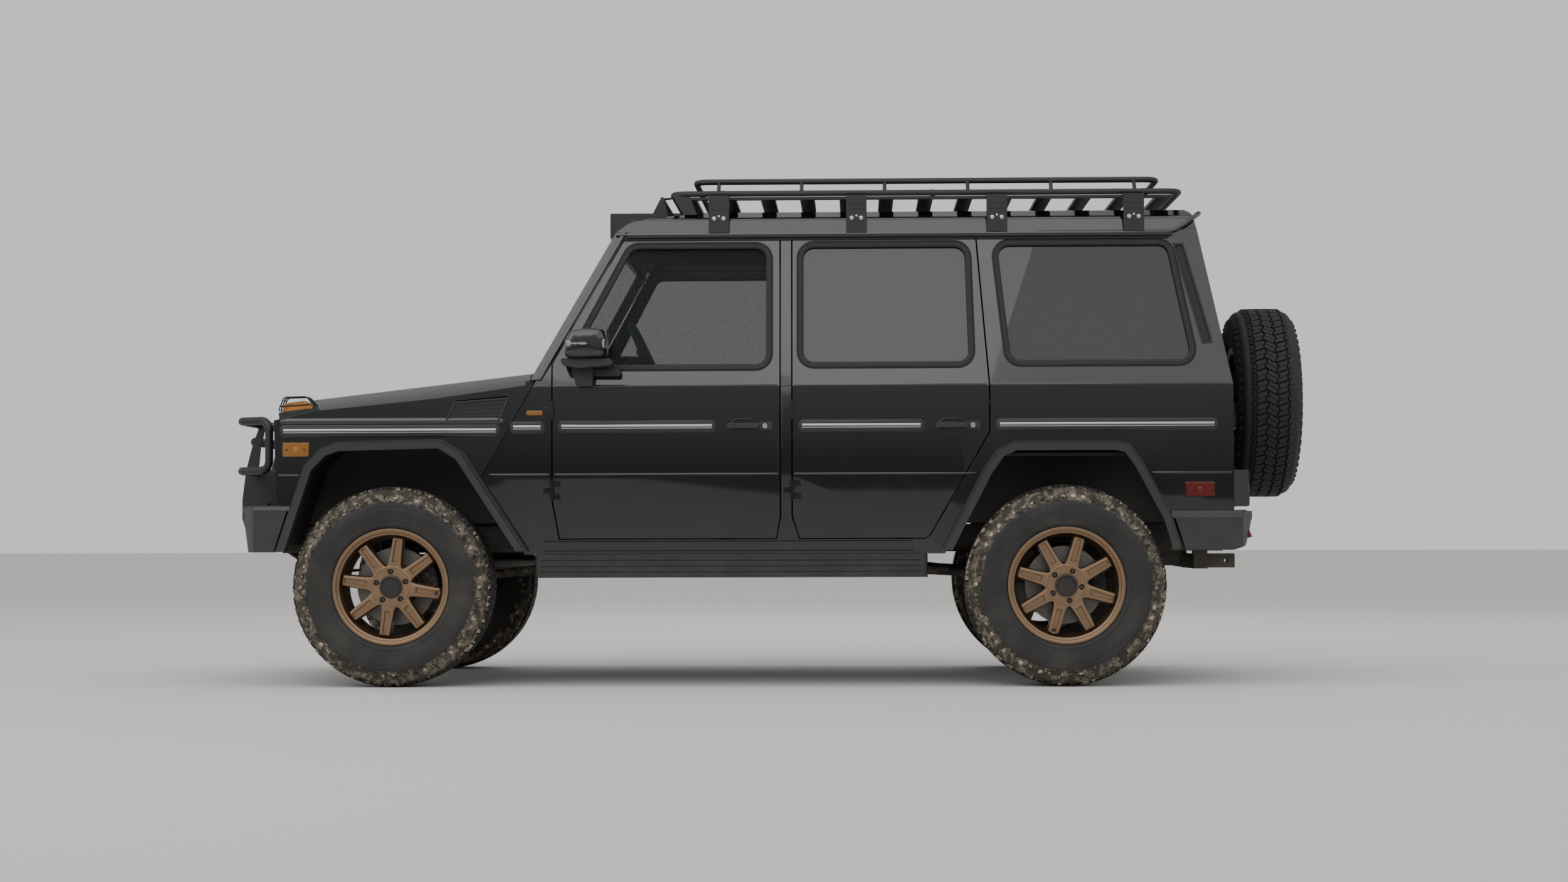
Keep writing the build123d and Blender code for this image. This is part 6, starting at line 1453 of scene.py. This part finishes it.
def door_cards():
    """Inner door panels, each with an upper band, a pocket, a speaker ring and a pull handle."""
    cards, bands, rings = [], [], []
    # columns: body, outline, pocket's distance and length, speaker's distance, handle's distance
    for body, outline, pocket, speaker, pull in (
            ("door_front", rectangle(0.735, 0.725, 1.590, 1.285), (1.300, 0.500), 0.860, 1.140),
            ("door_rear", [(1.745, 0.725), (2.285, 0.725), (2.400, 0.905), (2.480, 1.050), (2.480, 1.285),
                           (1.745, 1.285)], (1.960, 0.300), None, 1.960)):
        cards.append((body, prism(rounded(set_back(outline), 0.030, 4), 0.7655, 0.7705)))
        front, rear = outline[0][0] + 0.030, outline[-2][0] - 0.030
        middle, along = behind((front + rear) / 2), rear - front
        bands.append((body, block((middle, 0.7630, 1.205), (along, 0.0060, 0.105), 0.020)))
        bands.append((body, block((behind(pocket[0]), 0.7600, 0.795), (pocket[1], 0.0120, 0.080), 0.020)))
        rings.append((body, block((middle, 0.7640, 1.132), (along, 0.0040, 0.006), 0.002)))
        if speaker:
            centre = (behind(speaker), 0, 0.850)
            rim = [(0.068, 0.7600), (0.076, 0.7600), (0.078, 0.7660), (0.066, 0.7660)]
            rings.append((body, lathe(rim, centre, closed=True)))
            for radius in (0.014, 0.026, 0.038, 0.050, 0.062):
                ring = rectangle(radius, 0.7620, radius + 0.004, 0.7660)
                bands.append((body, lathe(ring, centre, closed=True)))
        x, bend = behind(pull), ((0.055, 0.7660), (0.050, 0.7450), (0.035, 0.7400))
        path = [(x + step, y, 1.060) for step, y in bend] + [(x - step, y, 1.060) for step, y in bend[::-1]]
        rings.append((body, tube(path, 0.0065)))
    on_sides("card", cards, LINING, 0.0015)
    on_sides("card_band", bands, DASH, 0.0015)
    on_sides("card_trim", rings, STRIP)
    gate = rounded(rectangle(-0.520, 0.800, 0.520, 1.290), 0.040, 4)
    piece("tailgate_card", moved(prism(gate, -0.0045, 0.0, "x"), (-1.9250, 0, 0)), LINING,
          BODY_OF["rear_door"], 0.0015)


# Engine bay

def engine():
    """Ribbed engine cover, air box and duct, battery, coolant tank, brake servo, radiator and hoses."""
    x = behind(0.030)
    cover = moved(rounded_block((0.600, 0.380, 0.056), 0.050, 0.020), (x, 0, 1.1415))
    ribs = [block((x, side * y, 1.1715), (0.440, 0.014, 0.006), 0.004, "z")
            for side in (-1, 1) for y in (0.065, 0.100, 0.135)]
    shroud = block((x, 0, 1.118), (0.640, 0.430, 0.008), 0.040, "z")
    airbox = moved(rounded_block((0.270, 0.190, 0.085), 0.030, 0.014), (behind(-0.150), 0.440, 1.1055))
    clips = [block((behind(-0.150 + step), 0.340, 1.105), (0.020, 0.008, 0.030), 0.003)
             for step in (-0.09, 0.09)]
    piece("engine_cover", joined(cover, *ribs), CAP, edge=0.002)
    piece("engine_shroud", joined(shroud, airbox), PLASTIC, edge=0.003)
    duct = rounded([(behind(-0.010), 0.440, 1.120), (behind(0.110), 0.440, 1.130),
                    (behind(0.200), 0.330, 1.150),
                    (behind(0.240), 0.200, 1.150)], 0.090, 8)
    # five rings to each run of the duct
    path = [start + (end - start) * share for start, end in zip(duct[:-1], duct[1:])
            for share in np.linspace(0, 1, 6)[:-1]]
    hoses = [tube(path + [duct[-1]], 0.0300, 24)]
    for y, heights in ((0.150, ((-0.400, 1.075), (-0.360, 1.090), (-0.340, 1.060))),
                       (-0.200, ((-0.400, 0.900), (-0.370, 0.890), (-0.340, 0.900)))):
        hoses.append(tube([(behind(distance), y, z) for distance, z in heights], 0.020, 18))
    piece("engine_hoses", joined(*hoses), CLEAN_SEAL)
    x = behind(0.230)
    post = [(0.0003, 0.0), (0.009, 0.0), (0.0075, 0.016), (0.0003, 0.016)]
    strap = block((x, -0.475, 1.1665), (0.024, 0.174, 0.003), 0.001, "z")
    posts = [lathe(post, (behind(0.230 + step), -0.430, 1.165), "z", 16) for step in (-0.090, 0.090)]
    piece("battery_case", block((x, -0.475, 1.110), (0.240, 0.170, 0.110), 0.008, "z"), PLASTIC, edge=0.003)
    tank = moved(rounded_block((0.150, 0.120, 0.090), 0.030, 0.016), (behind(-0.130), -0.480, 1.1050))
    piece("coolant_tank", tank, MILKY, sharp=50)
    cap = [(0.0003, 0.018), (0.020, 0.018), (0.024, 0.014), (0.024, 0.0), (0.0003, 0.0)]
    caps = [lathe(cap, spot, "z", 24) for spot in ((behind(-0.130), -0.480, 1.148),
                                                   (behind(-0.180), 0.0, 1.168))]
    servo = [(0.0003, 0.0), (0.085, 0.0), (0.105, 0.010), (0.108, 0.022), (0.108, 0.030), (0.100, 0.046),
             (0.060, 0.062), (0.030, 0.068), (0.028, 0.150), (0.0003, 0.150)]
    piece("brake_servo", lathe(servo, (behind(0.556), 0.420, 1.150), "x", 40), RACK, sharp=35)
    piece("engine_caps", joined(*caps, *clips), SEAL, edge=0.001)
    piece("engine_bright", joined(strap, *posts), STEEL)
    x = behind(-0.424)
    tanks = [block((x, 0, z), (0.040, 0.640, 0.035), 0.010) for z in (1.070, 0.760)]
    fins = [block((x, 0, z), (0.026, 0.620, 0.0020)) for z in np.arange(0.785, 1.050, 0.012)]
    piece("radiator_tanks", joined(*tanks), PLASTIC, edge=0.003)
    piece("radiator_core", joined(block((x, 0, 0.915), (0.012, 0.620, 0.276)), *fins), DARK_STEEL)


# Pillar slots and the awning case's ends

def pillar_slots():
    """Each rear pillar's slot: a dark bed low in it, inside a thin raised rim."""
    slot = set_back([(3.436, 1.449), (3.474, 1.449), (3.359, 1.871), (3.321, 1.871)])
    flat = rounded(slot, 0.018, 6)
    bed = capped([at_y(flat, [side_y(z) - depth for z in flat[:, 1]]) for depth in (0.0075, 0.0068)])
    rim = [(-0.0010, -0.0080), (-0.0010, 0.0012), (0.0016, 0.0026), (0.0048, 0.0016), (0.0060, -0.0010)]
    on_sides("pillar_bed", [("root", bed)], SEAL)
    on_sides("pillar_rim", [("root", framed(slot, 0.018, rim, side_y))], PLASTIC)


def awning_trim():
    """A cap over each end of the awning case, and two beads along its outer face."""
    low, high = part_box("awning_case")
    section = rounded(rectangle(low.y, low.z, high.y, high.z), 0.012, 4)
    middle, half = section.mean(0), 0.009
    caps = [prism((section - middle) * 1.004 + middle, x - half, x + half, "x")
            for x in (low.x + 0.0095, high.x - 0.0095)]
    piece("awning_caps", joined(*caps), CAP, edge=0.002)
    beads = [tube([(low.x + 0.020, low.y + 0.0005, z), (high.x - 0.020, low.y + 0.0005, z)], radius, 8)
             for z, radius in ((high.z - 0.030, 0.0030), (low.z + 0.022, 0.0024))]
    piece("awning_beads", joined(*beads), SEAL)


# Roof rack fittings

def rack_fittings():
    """Each bracket's cover plate with its slots, its two bright bolts and the clamps round the tubes."""
    bolts, plates, slots = [], [], []
    y = 0.7590
    head = [(0.0105, 0.000), (0.0105, 0.0025), (0.0085, 0.0055), (0.0050, 0.0062), (0.0045, 0.0040),
            (0.0003, 0.0040)]
    stud = [(0.0045, 0.0), (0.0045, 0.002), (0.0003, 0.003)]
    for distance in (1.387, 1.974, 2.572, 3.153):
        x = behind(distance)
        plates.append(block((x, y + 0.0016, 1.985), (0.084, 0.0032, 0.100), 0.004))
        plates.append(block((x, y + 0.0030, 1.9365), (0.086, 0.0060, 0.016), 0.002))
        slots.append(block((x, y + 0.0034, 2.028), (0.070, 0.0008, 0.005), 0.002))
        for offset in (-0.030, -0.010, 0.010, 0.030):
            slots.append(block((x + offset, y + 0.0004, 2.052), (0.012, 0.0012, 0.005), 0.002))
        for offset in (-0.020, 0.020):
            bolts.append(lathe(head, (x + offset, y + 0.0032, 1.990), steps=18))
        bolts.append(lathe(stud, (x, y + 0.0032, 2.000), steps=12))
    clamps = [tube([(behind(distance + step), 0.700, 2.104) for step in (-0.012, 0.012)], 0.0138, 18)
              for distance in (1.400, 2.300, 3.200)]
    for name, shapes, paint, edge in (("plates", plates, RACK, 0.0008), ("slots", slots, SEAL, 0.0),
                                      ("bolts", bolts, CHROME, 0.0), ("clamps", clamps, PLASTIC, 0.001)):
        piece(f"rack_{name}", both_sides(joined(*shapes)), paint, edge=edge)


# Finishes of the CAD nodes: node names, material, edge radius
FINISHES = [
    (("side_frame_left", "side_frame_right", "windscreen_frame", "roof", "rear_frame", "rear_door", "fenders",
      "hood",
      "door_front_left", "door_front_right", "door_rear_left", "door_rear_right"), BODY, 0.003),
    (("running_boards",), BOARD, 0.003),
    (("flares", "front_bumper", "rear_bumper", "front_panel"), PLASTIC, 0.003),
    (("roof_rack", "awning_case", "wind_deflector", "bull_bar"), RACK, 0.0012),
    (("ladder_frame", "floor_pan", "springs", "fuel_tank", "tow_hitch"), UNDER, 0.0),
    (("front_axle", "rear_axle", "knuckle_left", "knuckle_right", "tie_rod", "drivetrain"), CAST, 0.0),
    (("exhaust",), STEEL, 0.0),
    (("windscreen", "glass_front_left", "glass_front_right"), CLEAR, 0.0),
    (("rear_glass", "glass_rear_left", "glass_rear_right", "quarter_glass"), TINTED, 0.0),
    (("dashboard", "steering_wheel"), DASH, 0.004),
]

stage()
camera()
for nodes, paint, edge in FINISHES:
    for node in nodes:
        made = finished(node, paint, edge)
        if node == "fenders":
            # the arches' inner faces are chassis black
            made.data.materials.append(UNDER.material)
            for face in made.data.polygons:
                face.material_index = int(abs(face.center.y) < 0.795 and face.center.z < 1.09)
for build in (tyres, wheels, side_trim, window_seals, gutter, lamps, fender_vents, mirrors, door_handles,
              nose,
              bar_gussets, bumper_trim, wipers, rack_fittings, seats, cabin, door_cards, engine, pillar_slots,
              awning_trim):
    build()
